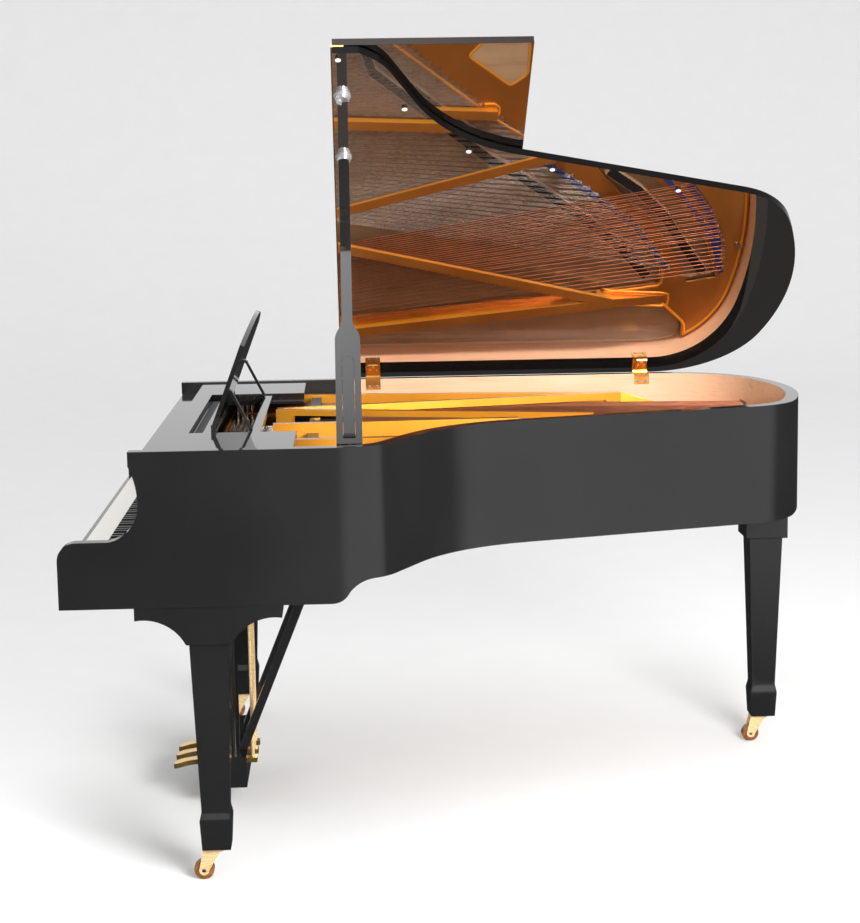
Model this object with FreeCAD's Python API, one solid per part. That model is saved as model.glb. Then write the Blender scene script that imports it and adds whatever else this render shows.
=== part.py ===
import FreeCAD
import Part
import math
import os

# A grand piano, in millimetres: +X from keyboard to tail, +Y from treble to bass, +Z up from the floor.
# The lid stands open on its prop, its front flap is folded back, the desk is up and the keys are open.

# Case, plan and heights
case_length = 1912.0
key_row_width = 1224.0
key_block_width = 100.0
key_block_gap = 4.0
rim_thickness = 34.0
rim_top_z = 1028.0
cheek_bottom_z = 667.0
bentside_bottom_z = 720.0
glue_gap = 0.3
cut_overrun = 20.0

# Plan curve of the case, from the treble cheek round the tail to the spine
treble_straight = 640.0
treble_straight_share = 0.33473
treble_bend_share = 0.1
treble_bend_angle = 62.0
waist_straight_share = 0.0886667
waist_radius_share = 0.3
waist_angle = 16.6
tail_corner_share = 0.136
tail_corner_angle = 68.0
tail_radius_share = 0.56
tail_end_angle = 108.0

# Cheek profile: arm, scroll and the ogee step in the lower edge
arm_top_z = 822.0
arm_nose_radius = 42.0
arm_length = 118.0
scroll_depth_x = 187.0
scroll_waist_z = 915.0
cheek_front_x = 168.0
scroll_top_z = 995.0
ogee_start_x = 622.0
ogee_length = 108.0

# Inner rim, keybed and the wood that carries the soundboard
inner_rim_thickness = 42.0
inner_rim_bottom_z = 745.0
soundboard_z = 905.0
soundboard_thickness = 8.0
soundboard_lap = 30.0
keybed_thickness = 45.0
key_slip_setback = 4.0
key_slip_thickness = 20.0
key_slip_height = 44.0
belly_rail_x = 575.0
belly_rail_thickness = 55.0
brace_width = 60.0
brace_height = 95.0
brace_drop = 28.0
rib_width = 18.0
rib_height = 20.0
rib_count = 9
rib_end_gap = 12.0

# Iron plate
plate_web_z = 928.0
plate_web_thickness = 12.0
plate_edge_clearance = 4.0
plate_front_x = 318.0
strut_bottom_z = 976.0
strut_deep_z = 952.0
strut_bass_z = 972.0
strut_height = 17.0
strut_width = 26.0
strut_foot_length = 46.0
plate_bolt_radius = 9.0
plate_bolt_height = 9.0
front_web_rear_x = 496.0
pin_window_front_x = 340.0
pin_window_rear_x = 458.0
pin_block_depth = 34.0
pin_block_front_x = 325.0
pin_block_rear_x = 492.0

# Strings, pins and bridges
plain_string_z = 950.0
wound_string_z = 968.0
plain_string_radius = 0.6
wound_string_radius = 1.8
bridge_width = 30.0
string_seat_gap = 0.6
tuning_pin_radius = 2.3
tuning_pin_rise = 22.0
tuning_pin_row_step = 26.0
tuning_pin_front_x = 352.0
hitch_pin_radius = 1.6
hitch_pin_rise = 7.0
agraffe_width = 7.0
agraffe_depth = 9.0
agraffe_x = 470.0
felt_thickness = 4.0
felt_width = 18.0
felt_setback = 15.0
single_string_count = 8
plain_set_count = 3
bass_set_count = 2


# Keys, hammers and dampers
key_count = 88
octave_count = 12
key_front_x = 30.0
natural_length = 150.0
key_tail_share = 0.36
key_lever_length = 400.0
key_top_z = 776.0
key_thickness = 20.0
key_gap = 1.2
sharp_rise = 12.0
sharp_width = 10.0
lever_gap = 1.509090909
key_frame_z = 712.5
key_frame_height = 16.0
balance_rail_x = 250.0
balance_rail_width = 10.0
rail_gap = 0.5
key_block_height = 66.0
hammer_x = 535.0
hammer_head_height = 52.0
hammer_head_length = 24.0
hammer_head_width = 9.0
hammer_shank_length = 118.0
hammer_shank_height = 5.0
hammer_pivot_z = 885.0
hammer_rest_angle = 12.0
hammer_rail_width = 34.0
hammer_rail_height = 30.0
damper_x = 574.0
damper_length = 30.0
damper_width = 9.0
damper_height = 16.0
damper_felt_gap = 0.9
damper_count = 66

# Legs, casters, lyre and pedals
front_leg_x = 338.0
front_leg_inset = 60.0
tail_leg_inset = 72.0
tail_leg_share = 0.2
leg_block_length = 338.0
leg_block_width = 110.0
leg_block_height = 31.0
leg_flare_height = 59.0
leg_neck_length = 106.0
tail_block_length = 118.0
tail_block_height = 26.0
leg_top_width = 93.0
leg_low_width = 65.0
spade_top_width = 75.0
spade_bottom_width = 67.0
spade_height = 72.0
spade_bevel_height = 22.0
leg_bottom_z = 78.0
caster_stem_radius = 6.0
caster_stem_length = 40.0
stem_clearance = 0.05
caster_offset = 32.0
caster_wheel_radius = 23.5
caster_wheel_width = 24.0
caster_axle_radius = 4.0
caster_cheek_thickness = 4.0
caster_side_gap = 1.0
caster_crown_height = 10.0
caster_top_gap = 0.5
lyre_x = 330.0
lyre_block_length = 100.0
lyre_block_width = 420.0
lyre_block_height = 40.0
lyre_post_radius = 17.0
lyre_post_spacing = 250.0
lyre_box_length = 105.0
lyre_box_width = 400.0
lyre_box_top_z = 142.0
lyre_box_height = 82.0
lyre_brace_width = 24.0
lyre_brace_reach = 215.0
pedal_spacing = 78.0
pedal_width = 26.0
pedal_thickness = 13.0
pedal_z = 100.0
pedal_reach = 95.0
pedal_tail = 22.0
pedal_toe_length = 70.0
pedal_toe_width = 38.0
pedal_pin_radius = 5.0
pedal_pin_clearance = 0.05
pedal_slot_gap = 9.0
pedal_rod_radius = 4.5
pedal_rod_gap = 0.9
pedal_rod_top_gap = 24.0

# Lid, hinges and prop
lid_angle = 36.1
lid_gap = 6.0
lid_thickness = 20.0
lid_overhang = 15.0
lid_break_x = 648.0
lid_flap_length = 478.0
flap_seam = 1.0
flap_rest_gap = 4.0
hinge_leaf_thickness = 2.4
hinge_leaf_length = 44.0
hinge_knuckle_count = 3
hinge_leaf_reach = 62.0
hinge_leaf_drop = 32.0
hinge_knuckle_radius = 4.0
hinge_pin_radius = 2.0
hinge_axis_out = 5.5
hinge_clearance = 0.05
hinge_relief = 0.4
hinge_end_gap = 0.6
flap_knuckle_radius = 3.5
flap_pin_radius = 1.6
flap_leaf_reach = 24.0
flap_leaf_thickness = 1.5
flap_knuckle_count = 9
lid_button_radius = 7.0
lid_button_height = 5.4
prop_x = 670.0
prop_pivot_inset = 40.0
prop_pivot_z = 1003.0
prop_cup_share = -0.0906667
upper_cup_share = -0.2226667
prop_width = 60.0
prop_thickness = 24.0
prop_neck_width = 26.0
prop_wide_length = 287.0
prop_shoulder_length = 60.0
prop_start = 20.0
prop_tip_radius = 8.0
prop_tip_length = 14.0
prop_tip_gap = 1.0
prop_fold_heading = 66.0
prop_fold_rise = 1.0
prop_eye_radius = 10.0
prop_eye_width = 16.0
prop_ear_leg = 14.0
prop_pin_radius = 4.0
prop_ear_gap = 0.5
prop_ear_thickness = 5.0
short_prop_width = 28.0
short_prop_length = 212.0
short_prop_gap = 0.6
short_pin_radius = 2.5
cup_radius = 17.0
cup_flange_radius = 21.0
cup_height = 17.0
cup_flange_height = 5.0
cup_bore_radius = 13.0
cup_slot_gap = 1.5

# Music shelf, desk and fallboard
shelf_front_x = 234.0
shelf_front_width = 46.0
shelf_length = 308.0
shelf_top_z = 1024.0
shelf_thickness = 30.0
desk_side_gap = 12.0
shelf_end_gap = 1.0
cleat_width = 20.0
cleat_height = 22.0
tray_gap = 0.5
tray_front_x = 312.0
tray_length = 140.0
tray_thickness = 16.0
tray_bar_width = 22.0
tray_runner_lap = 10.0
desk_width = 800.0
desk_height = 266.0
desk_side_share = 0.79
desk_thickness = 11.0
desk_lean = 20.8
desk_hinge_x = 340.0
desk_pin_radius = 3.0
desk_pin_length = 14.0
desk_hinge_rise = 16.0
strut_pin_radius = 1.5
desk_knuckle_radius = 6.0
desk_strut_place_share = 0.35
desk_strut_width = 12.0
desk_strut_thickness = 7.0
desk_strut_foot_x = 430.0
desk_strut_inset = 24.0
fallboard_x = 214.0
fallboard_z = 806.0
fallboard_thickness = 18.0
fallboard_height = 203.0
fallboard_lip = 28.0
fallboard_side_gap = 2.0
fallboard_pin_radius = 5.0
fallboard_pin_clearance = 0.05
fallboard_pin_length = 12.0

case_width = key_row_width + 2 * (key_block_gap + key_block_width + rim_thickness)
treble_bend_radius = treble_bend_share * case_width
waist_straight = waist_straight_share * case_width
waist_radius = waist_radius_share * case_width
tail_corner_radius = tail_corner_share * case_width
tail_radius = tail_radius_share * case_width
half_width = case_width / 2
inner_face = half_width - rim_thickness
inner_rim_inset = rim_thickness + glue_gap
interior_inset = inner_rim_inset + inner_rim_thickness
keybed_top_z = cheek_bottom_z + keybed_thickness
front_leg_y = half_width - front_leg_inset
tail_leg_x = case_length - tail_leg_inset
tail_leg_y = tail_leg_share * case_width
prop_pivot_y = prop_pivot_inset - inner_face
prop_cup_y = prop_cup_share * case_width
upper_cup_y = upper_cup_share * case_width
shelf_opening_width = desk_width + 2 * desk_side_gap
desk_strut_y = desk_width / 2 - desk_strut_inset
soundboard_top_z = soundboard_z + soundboard_thickness
plate_top_z = plate_web_z + plate_web_thickness
hinge_y = half_width + hinge_axis_out
hinge_z = rim_top_z + lid_gap / 2
lid_bottom_z = rim_top_z + lid_gap
lid_top_z = lid_bottom_z + lid_thickness
flap_stack = lid_top_z + flap_rest_gap + lid_thickness - hinge_z
lid_sin = math.sin(math.radians(lid_angle))
lid_cos = math.cos(math.radians(lid_angle))
spine_reach = hinge_y + (lid_overhang - hinge_axis_out) * lid_cos + flap_stack * lid_sin
frame_shift = FreeCAD.Vector(-(case_length + lid_overhang) / 2, (half_width - spine_reach) / 2, 0)
X_AXIS = FreeCAD.Vector(1, 0, 0)
Y_AXIS = FreeCAD.Vector(0, 1, 0)
Z_AXIS = FreeCAD.Vector(0, 0, 1)


def vec(x, y, z):
    return FreeCAD.Vector(x, y, z)


def box(x0, x1, y0, y1, z0, z1):
    return Part.makeBox(x1 - x0, y1 - y0, z1 - z0, vec(x0, y0, z0))


def rod(radius, start, end):
    return Part.makeCylinder(radius, (end - start).Length, start, end - start)


def prism(points, travel):
    wire = Part.makePolygon(points + points[:1])
    return Part.Face(wire).extrude(travel)


def edge_prism(edges, travel):
    return Part.Face(Part.Wire(edges)).extrude(travel)


def line(a, b):
    return Part.LineSegment(a, b).toShape()


def arc(a, b, c):
    return Part.Arc(a, b, c).toShape()


# A place in the plan: in front of the treble bend X keeps its distance, behind it X follows the case length
def plan(x_share, y_share, z=0):
    front = min(x_share, treble_straight_share) / treble_straight_share
    rear = max(x_share - treble_straight_share, 0) / (1 - treble_straight_share)
    x = treble_straight * front + (case_length - treble_straight) * rear
    return vec(x, y_share * case_width, z)


def save(name, shape):
    solids = shape if isinstance(shape, list) else [shape]
    placed = [piece for solid in solids for piece in solid.Solids]
    for solid in placed:
        solid.translate(frame_shift)
    Part.makeCompound(placed).exportStep(os.path.join("parts", name + ".step"))
    print(name, len(placed), "solids", round(sum(s.Volume for s in placed)))


# The case outline is a chain of straights and tangent arcs: (length) or (radius, turn to heading)
def case_chain():
    a1, a2 = math.radians(treble_bend_angle), math.radians(waist_angle)
    a3, a4 = math.radians(tail_corner_angle), math.radians(tail_end_angle)
    points = [("line", 0, -half_width, 0)]
    x, y = treble_straight, -half_width
    points.append(("left", x, y, 0, treble_bend_radius, a1))
    x, y = turn(x, y, 0, treble_bend_radius, a1, 1)
    points.append(("line", x, y, a1))
    x, y = x + waist_straight * math.cos(a1), y + waist_straight * math.sin(a1)
    points.append(("right", x, y, a1, waist_radius, a2))
    x, y = turn(x, y, a1, waist_radius, a2, -1)
    points.append(("line", x, y, a2))
    corner_reach = tail_corner_radius * (math.sin(a3) - math.sin(a2))
    tail_reach = tail_radius * (1 - math.sin(a3))
    run = (case_length - x - corner_reach - tail_reach) / math.cos(a2)
    x, y = x + run * math.cos(a2), y + run * math.sin(a2)
    points.append(("left", x, y, a2, tail_corner_radius, a3))
    x, y = turn(x, y, a2, tail_corner_radius, a3, 1)
    points.append(("left", x, y, a3, tail_radius, a4))
    x, y = turn(x, y, a3, tail_radius, a4, 1)
    spine_radius = (half_width - y) / (math.cos(a4) + 1)
    points.append(("left", x, y, a4, spine_radius, math.pi))
    x, y = turn(x, y, a4, spine_radius, math.pi, 1)
    points.append(("line", x, y, math.pi))
    points.append(("end", 0, half_width, math.pi))
    return points


# Where a turn of one radius, from one heading to another, comes out; side is 1 left or -1 right
def turn(x, y, heading, radius, new_heading, side):
    x += side * radius * (math.sin(new_heading) - math.sin(heading))
    y -= side * radius * (math.cos(new_heading) - math.cos(heading))
    return x, y


# The edges of the case's plan, drawn in by inset, from front_x round the tail and back
def plan_edges(inset, z, front_x):
    chain = case_chain()

    def inward(x, y, heading):
        return vec(x - inset * math.sin(heading), y + inset * math.cos(heading), z)

    start = vec(front_x, -half_width + inset, z)
    finish = vec(front_x, half_width - inset, z)
    edges = []
    for step, following in zip(chain, chain[1:]):
        kind, x, y, heading = step[:4]
        a = start if not edges else inward(x, y, heading)
        b = finish if following[0] == "end" else inward(*following[1:4])
        if kind == "line":
            edges.append(line(a, b))
            continue
        radius, new_heading = step[4:]
        middle = (heading + new_heading) / 2
        side = 1 if kind == "left" else -1
        edges.append(arc(a, inward(*turn(x, y, heading, radius, middle, side), middle), b))
    return edges


def along_edge(edge, share):
    return edge.valueAt(edge.FirstParameter + (edge.LastParameter - edge.FirstParameter) * share)


def plan_solid(inset, z, height, front_x=0):
    edges = plan_edges(inset, z, front_x)
    start, finish = vec(front_x, -half_width + inset, z), vec(front_x, half_width - inset, z)
    return edge_prism(edges + [line(finish, start)], vec(0, 0, height))


def interior(inset, z0, z1, x0, x1):
    return plan_solid(inset, z0, z1 - z0).common(box(x0, x1, -case_width, case_width, z0, z1))


# Case

scroll_low_shares = (0.70, 0.30)
scroll_high_shares = (0.32, 0.56)
ogee_low_shares = (0.24, 0.14)
ogee_mid_shares = (0.39, 0.49)
ogee_high_shares = (0.63, 0.87)
brace_shares = ((-0.36, 0.5, -0.2), (-0.16, 1.02, 0.06), (0.06, 1.02, 0.2), (0.27, 1.02, 0.34))
rib_first_share = 0.39
rib_last_share = 0.93


def between(a, b, shares):
    return vec(a.x + (b.x - a.x) * shares[0], 0, a.z + (b.z - a.z) * shares[1])


# Space in front of and above the arm, to be cut from both cheeks
def scroll_cut():
    nose_low = vec(0, 0, arm_top_z - arm_nose_radius)
    nose_top = vec(arm_nose_radius, 0, arm_top_z)
    lift = arm_nose_radius * math.sqrt(2) / 2
    nose_mid = vec(arm_nose_radius - lift, 0, arm_top_z - arm_nose_radius + lift)
    arm_end = vec(arm_length, 0, arm_top_z)
    waist = vec(scroll_depth_x, 0, scroll_waist_z)
    crown = vec(cheek_front_x, 0, scroll_top_z)
    top = rim_top_z + cut_overrun
    corners = [vec(cheek_front_x, 0, top), vec(-cut_overrun, 0, top), vec(-cut_overrun, 0, nose_low.z)]
    edges = [
        arc(nose_low, nose_mid, nose_top),
        line(nose_top, arm_end),
        arc(arm_end, between(arm_end, waist, scroll_low_shares), waist),
        arc(waist, between(waist, crown, scroll_high_shares), crown),
    ]
    path = [crown] + corners + [nose_low]
    edges += [line(a, b) for a, b in zip(path, path[1:])]
    cut = edge_prism(edges, vec(0, 2 * case_width, 0))
    cut.translate(vec(0, -case_width, 0))
    return cut


# The rim's lower edge steps up behind the cheeks in an ogee
def ogee_cut():
    low = vec(ogee_start_x, 0, cheek_bottom_z)
    high = vec(ogee_start_x + ogee_length, 0, bentside_bottom_z)
    middle = between(low, high, ogee_mid_shares)
    far_x = case_length + cut_overrun
    below = cheek_bottom_z - cut_overrun
    path = [high, vec(far_x, 0, high.z), vec(far_x, 0, below), vec(low.x, 0, below), low]
    edges = [
        arc(low, between(low, high, ogee_low_shares), middle),
        arc(middle, between(low, high, ogee_high_shares), high),
    ]
    edges += [line(a, b) for a, b in zip(path, path[1:])]
    cut = edge_prism(edges, vec(0, 2 * case_width, 0))
    cut.translate(vec(0, -case_width, 0))
    return cut


def outer_rim():
    height = rim_top_z - cheek_bottom_z
    ring = plan_solid(0, cheek_bottom_z, height)
    ring = ring.cut(plan_solid(rim_thickness, cheek_bottom_z, height, -cut_overrun))
    ring = ring.cut(scroll_cut()).cut(ogee_cut())
    reach = inner_face + fallboard_pin_length
    bore = rod(fallboard_pin_radius + fallboard_pin_clearance, vec(fallboard_x, -reach, fallboard_z),
               vec(fallboard_x, reach, fallboard_z))
    return ring.cut(bore)


def inner_rim():
    x0 = belly_rail_x + belly_rail_thickness
    ring = interior(inner_rim_inset, inner_rim_bottom_z, soundboard_z, x0, case_length)
    return ring.cut(interior(interior_inset, inner_rim_bottom_z, soundboard_z, 0, case_length))


def keybed():
    x1 = belly_rail_x + belly_rail_thickness
    return box(key_slip_setback, x1, -inner_face, inner_face, cheek_bottom_z, keybed_top_z)


def key_slip():
    x1 = key_slip_setback + key_slip_thickness
    top = keybed_top_z + key_slip_height
    return box(key_slip_setback, x1, -inner_face, inner_face, keybed_top_z, top)


def key_blocks():
    x0 = key_slip_setback + key_slip_thickness
    y0 = inner_face - key_block_width
    z1 = keybed_top_z + key_block_height
    block = box(x0, cheek_front_x, y0, inner_face, keybed_top_z, z1)
    return [block, block.mirror(vec(0, 0, 0), Y_AXIS)]


def belly_rail():
    x1 = belly_rail_x + belly_rail_thickness
    return box(belly_rail_x, x1, -inner_face, inner_face, keybed_top_z, soundboard_z)


def beam(a, b, width, z0, z1):
    along = (b - a).normalize()
    side = along.cross(Z_AXIS) * (width / 2)
    foot = [p + vec(0, 0, z0 - p.z) for p in (a - side, b - side, b + side, a + side)]
    return prism(foot, vec(0, 0, z1 - z0))


def back_braces():
    x0 = belly_rail_x + belly_rail_thickness
    top = soundboard_z - brace_drop
    room = interior(interior_inset, top - brace_height, top, x0, case_length)
    made = []
    for y_share, x_share, end_share in brace_shares:
        brace = beam(plan(0, y_share) + vec(x0 - cut_overrun, 0, 0), plan(x_share, end_share),
                     brace_width, top - brace_height, top)
        made.append(brace.common(room))
    return made


def soundboard():
    inset = interior_inset - soundboard_lap
    return interior(inset, soundboard_z, soundboard_top_z, belly_rail_x, case_length)


def soundboard_ribs():
    z0 = soundboard_z - rib_height
    x0 = belly_rail_x + belly_rail_thickness
    room = interior(interior_inset + rib_end_gap, z0, soundboard_z, x0, case_length)
    made = []
    for index in range(rib_count):
        share = rib_first_share + (rib_last_share - rib_first_share) * index / (rib_count - 1)
        x = plan(share, 0).x
        made.append(box(x, x + rib_width, -case_width, case_width, z0, soundboard_z).common(room))
    return made


# Iron plate, bridges and strings

bridge_shares = ((0.343, -0.393), (0.366, -0.22), (0.395, -0.103), (0.49, -0.008), (0.572, 0.073),
                 (0.631, 0.118), (0.718, 0.196), (0.771, 0.249), (0.825, 0.324))
bass_bridge_shares = ((0.756, 0.097), (0.805, 0.14), (0.845, 0.191), (0.88, 0.256), (0.912, 0.313))
main_opening_shares = ((0.335, -0.4), (0.362, -0.4), (0.387, -0.235), (0.423, -0.128), (0.511, -0.043),
                       (0.592, 0.035), (0.652, 0.08), (0.737, 0.158), (0.79, 0.213), (0.846, 0.308),
                       (0.845, 0.34), (0.74, 0.356), (0.362, 0.4), (0.335, 0.4))
bass_opening_shares = ((0.733, 0.087), (0.78, 0.152), (0.826, 0.2), (0.86, 0.266), (0.89, 0.34),
                       (0.936, 0.33), (0.917, 0.253), (0.886, 0.193), (0.838, 0.127), (0.778, 0.068))
spine_opening_shares = ((0.335, 0.6), (0.335, 0.44), (0.366, 0.428), (0.753, 0.384), (0.85, 0.388),
                        (0.885, 0.43), (0.885, 0.6))
strut_shares = (((0.245, -0.22), (0.415, -0.215)), ((0.245, -0.012), (0.585, 0.005)),
                ((0.245, 0.2), (0.695, 0.055)), ((0.245, 0.214), (0.766, 0.368)),
                ((0.245, 0.437), (0.766, 0.37)))
# How far down each strut's web reaches, between the strings beside it
strut_bottoms = (strut_deep_z, strut_deep_z, strut_bottom_z, strut_bass_z, plate_top_z)
strut_tail_shares = ((0.766, 0.369), (0.857, 0.376))
pin_window_shares = ((-0.41, -0.226), (-0.2145, -0.02), (0.002, 0.19), (0.24, 0.43))
plate_bolt_shares = (0.25, 0.75)
# Notes in each section, with their front and rear places as shares of the width
bass_note_count = 20
bass_front_shares = (0.415, 0.262)
bass_hitch_shares = ((0.944, 0.307), (0.944, 0.253), (0.924, 0.185), (0.889, 0.126))
plain_note_counts = (23, 22, 23)
plain_front_shares = ((0.175, 0.013), (-0.03, -0.207), (-0.233, -0.4))
plain_rear_shares = ((0.303, 0.02), (-0.01, -0.2), (-0.23, -0.4))
hitch_line_shares = ((0.376, -0.4), (0.398, -0.25), (0.44, -0.137), (0.525, -0.05), (0.605, 0.03),
                     (0.665, 0.075), (0.752, 0.155), (0.806, 0.207), (0.862, 0.303))


def share_solid(shares, z0, z1):
    return prism([plan(x, y, z0) for x, y in shares], vec(0, 0, z1 - z0))


# A strip of even width along a chain of plan points
def strip(shares, width, z0, z1, offset=0):
    points = [plan(x, y, z0) for x, y in shares]
    left, right = [], []
    for index, point in enumerate(points):
        before = points[max(index - 1, 0)]
        after = points[min(index + 1, len(points) - 1)]
        side = (after - before).normalize().cross(Z_AXIS)
        left.append(point + side * (offset - width / 2))
        right.append(point + side * (offset + width / 2))
    return prism(left + right[::-1], vec(0, 0, z1 - z0))


def strut(start, end, bottom):
    a, b = plan(*start), plan(*end)
    top = strut_bottom_z + strut_height
    along = (b - a).normalize() * strut_foot_length
    front_foot = beam(a, a + along, strut_width, plate_top_z, top)
    rear_foot = beam(b - along, b, strut_width, plate_top_z, top)
    return beam(a, b, strut_width, bottom, top).fuse([front_foot, rear_foot])


# The bass struts end together in a slope down to the plate
def strut_tail():
    a, b = plan(*strut_tail_shares[0], plate_top_z), plan(*strut_tail_shares[1], plate_top_z)
    side = (b - a).normalize().cross(Z_AXIS) * (strut_width / 2)
    top = a + vec(0, 0, strut_bottom_z + strut_height - plate_top_z)
    return prism([a - side, top - side, b - side], side * 2)


def iron_plate():
    inset = rim_thickness + plate_edge_clearance
    plate = interior(inset, plate_web_z, plate_top_z, plate_front_x, case_length)
    for shares in (main_opening_shares, bass_opening_shares, spine_opening_shares):
        plate = plate.cut(share_solid(shares, plate_web_z, plate_top_z))
    hammer_gap = box(front_web_rear_x, plan(*main_opening_shares[0]).x, -half_width, half_width,
                     plate_web_z, plate_top_z)
    edge = inset + strut_width
    plate = plate.cut(hammer_gap.common(interior(edge, plate_web_z, plate_top_z, 0, case_length)))
    for y0, y1 in pin_window_shares:
        plate = plate.cut(box(pin_window_front_x, pin_window_rear_x, y0 * case_width, y1 * case_width,
                              plate_web_z, plate_top_z))
    struts = [strut(a, b, bottom) for (a, b), bottom in zip(strut_shares, strut_bottoms)]
    return plate.fuse(struts + [strut_tail()]).removeSplitter()


def plate_bolts():
    inset = rim_thickness + plate_edge_clearance + 2 * plate_bolt_radius
    made = []
    for edge in plan_edges(inset, plate_top_z, 0)[2:-2]:
        for share in plate_bolt_shares:
            foot = along_edge(edge, share)
            made.append(rod(plate_bolt_radius, foot, foot + vec(0, 0, plate_bolt_height)))
    return made


def pin_block():
    return box(pin_block_front_x, pin_block_rear_x, -inner_face, inner_face,
               plate_web_z - pin_block_depth, plate_web_z)


def along_shares(shares, t):
    place = t * (len(shares) - 1)
    index = min(int(place), len(shares) - 2)
    (x0, y0), (x1, y1) = shares[index], shares[index + 1]
    return x0 + (x1 - x0) * (place - index), y0 + (y1 - y0) * (place - index)


def hitch_x_share(y):
    for (x0, y0), (x1, y1) in zip(hitch_line_shares, hitch_line_shares[1:]):
        if y <= y1:
            return x0 + (x1 - x0) * (y - y0) / (y1 - y0)
    return hitch_line_shares[-1][0]


# Every note: its number, front point, rear point, height, wire radius, strings and spacing
def string_plan():
    notes = []
    steps = bass_note_count - 1
    pitch = (bass_front_shares[0] - bass_front_shares[1]) * case_width / steps
    for index in range(bass_note_count):
        t = index / steps
        y = bass_front_shares[0] + (bass_front_shares[1] - bass_front_shares[0]) * t
        count = 1 if index < single_string_count else bass_set_count
        rear = plan(*along_shares(bass_hitch_shares, t), wound_string_z)
        front = vec(agraffe_x, y * case_width, wound_string_z)
        notes.append((index + 1, front, rear, wound_string_radius, count, pitch / bass_set_count))
    for note_count, fronts, rears in zip(plain_note_counts, plain_front_shares, plain_rear_shares):
        steps = note_count - 1
        pitch = (fronts[0] - fronts[1]) * case_width / steps
        for index in range(note_count):
            t = index / steps
            y = rears[0] + (rears[1] - rears[0]) * t
            rear = plan(hitch_x_share(y), y, plain_string_z)
            front = vec(agraffe_x, (fronts[0] + (fronts[1] - fronts[0]) * t) * case_width, plain_string_z)
            notes.append((len(notes) + 1, front, rear, plain_string_radius, plain_set_count,
                          pitch / plain_set_count))
    return notes


# Each single string: note, row, pin centre, hitch centre and wire radius
def string_runs():
    runs = []
    for note, front, rear, radius, count, spacing in string_plan():
        for row in range(count):
            offset = vec(0, (row - (count - 1) / 2) * spacing, 0)
            slope = (rear.y - front.y) / (rear.x - front.x)
            pin_x = tuning_pin_front_x + tuning_pin_row_step * row + tuning_pin_row_step / 2 * (note % 2)
            pin = vec(pin_x, front.y + slope * (pin_x - front.x), front.z) + offset
            runs.append((note, row, pin, rear + offset, radius))
    return runs


def strings(wound):
    made = []
    for note, row, pin, hitch, radius in string_runs():
        if (note <= bass_note_count) != wound:
            continue
        along = (hitch - pin).normalize()
        start = pin + along * (tuning_pin_radius + string_seat_gap)
        end = hitch - along * (hitch_pin_radius + string_seat_gap)
        made.append(rod(radius, start, end))
    return made


def tuning_pins():
    made = []
    for note, row, pin, hitch, radius in string_runs():
        foot = vec(pin.x, pin.y, plate_web_z)
        made.append(rod(tuning_pin_radius, foot, vec(pin.x, pin.y, pin.z + tuning_pin_rise)))
    return made


def hitch_pins():
    made = []
    for note, row, pin, hitch, radius in string_runs():
        foot = vec(hitch.x, hitch.y, plate_top_z)
        made.append(rod(hitch_pin_radius, foot, vec(hitch.x, hitch.y, hitch.z + hitch_pin_rise)))
    return made


def agraffes():
    made = []
    for note, front, rear, radius, count, spacing in string_plan():
        x0, y0 = front.x - agraffe_depth / 2, front.y - agraffe_width / 2
        top = front.z - radius - string_seat_gap
        made.append(box(x0, x0 + agraffe_depth, y0, y0 + agraffe_width, plate_top_z, top))
    return made


def string_bridges():
    treble_top = plain_string_z - plain_string_radius - string_seat_gap
    bass_top = wound_string_z - wound_string_radius - string_seat_gap
    return [strip(bridge_shares, bridge_width, soundboard_top_z, treble_top),
            strip(bass_bridge_shares, bridge_width, soundboard_top_z, bass_top)]


# Felt strips laid on the plate under the waste lengths of the strings, before the hitch pins
def string_felts():
    top = plate_top_z + felt_thickness
    return [strip(hitch_line_shares[5:], felt_width, plate_top_z, top, -felt_setback),
            strip(bass_hitch_shares, felt_width, plate_top_z, top, felt_setback)]


# Keys, hammers and dampers

octave_naturals = (0, 2, 3, 5, 7, 8, 10)


def key_pitch():
    return key_row_width / key_count


def lever_width():
    return key_pitch() - lever_gap


def is_natural(note):
    return (note - 1) % octave_count in octave_naturals


def lever_y(note):
    return key_row_width / 2 - (note - 0.5) * key_pitch()


def natural_keys():
    naturals = [note for note in range(1, key_count + 1) if is_natural(note)]
    pitch = key_row_width / len(naturals)
    z0 = key_top_z - key_thickness
    lever_end = key_front_x + key_lever_length
    made = []
    for index, note in enumerate(naturals):
        y = key_row_width / 2 - (index + 0.5) * pitch
        half = (pitch - key_gap) / 2
        head_end = key_front_x + natural_length * key_tail_share
        head = box(key_front_x, head_end, y - half, y + half, z0, key_top_z)
        side = lever_width() / 2
        low, high = lever_y(note) - side, lever_y(note) + side
        lever = box(head_end + key_gap, lever_end, low, high, z0, key_top_z)
        link = box(head_end, head_end + key_gap, max(low, y - half), min(high, y + half), z0, key_top_z)
        made.append(head.fuse([link, lever]).removeSplitter())
    return made


def sharp_keys():
    lever_end = key_front_x + key_lever_length
    cap_end = key_front_x + natural_length
    cap_start = key_front_x + natural_length * key_tail_share + key_gap
    made = []
    for note in range(1, key_count + 1):
        if is_natural(note):
            continue
        y, side, cap = lever_y(note), lever_width() / 2, sharp_width / 2
        lever = box(cap_start, lever_end, y - side, y + side, key_top_z - key_thickness, key_top_z)
        slope = [vec(cap_start, y - cap, key_top_z), vec(cap_end, y - cap, key_top_z),
                 vec(cap_end, y - cap, key_top_z + sharp_rise),
                 vec(cap_start + sharp_rise / 2, y - cap, key_top_z + sharp_rise)]
        made.append(lever.fuse(prism(slope, vec(0, sharp_width, 0))).removeSplitter())
    return made


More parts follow.
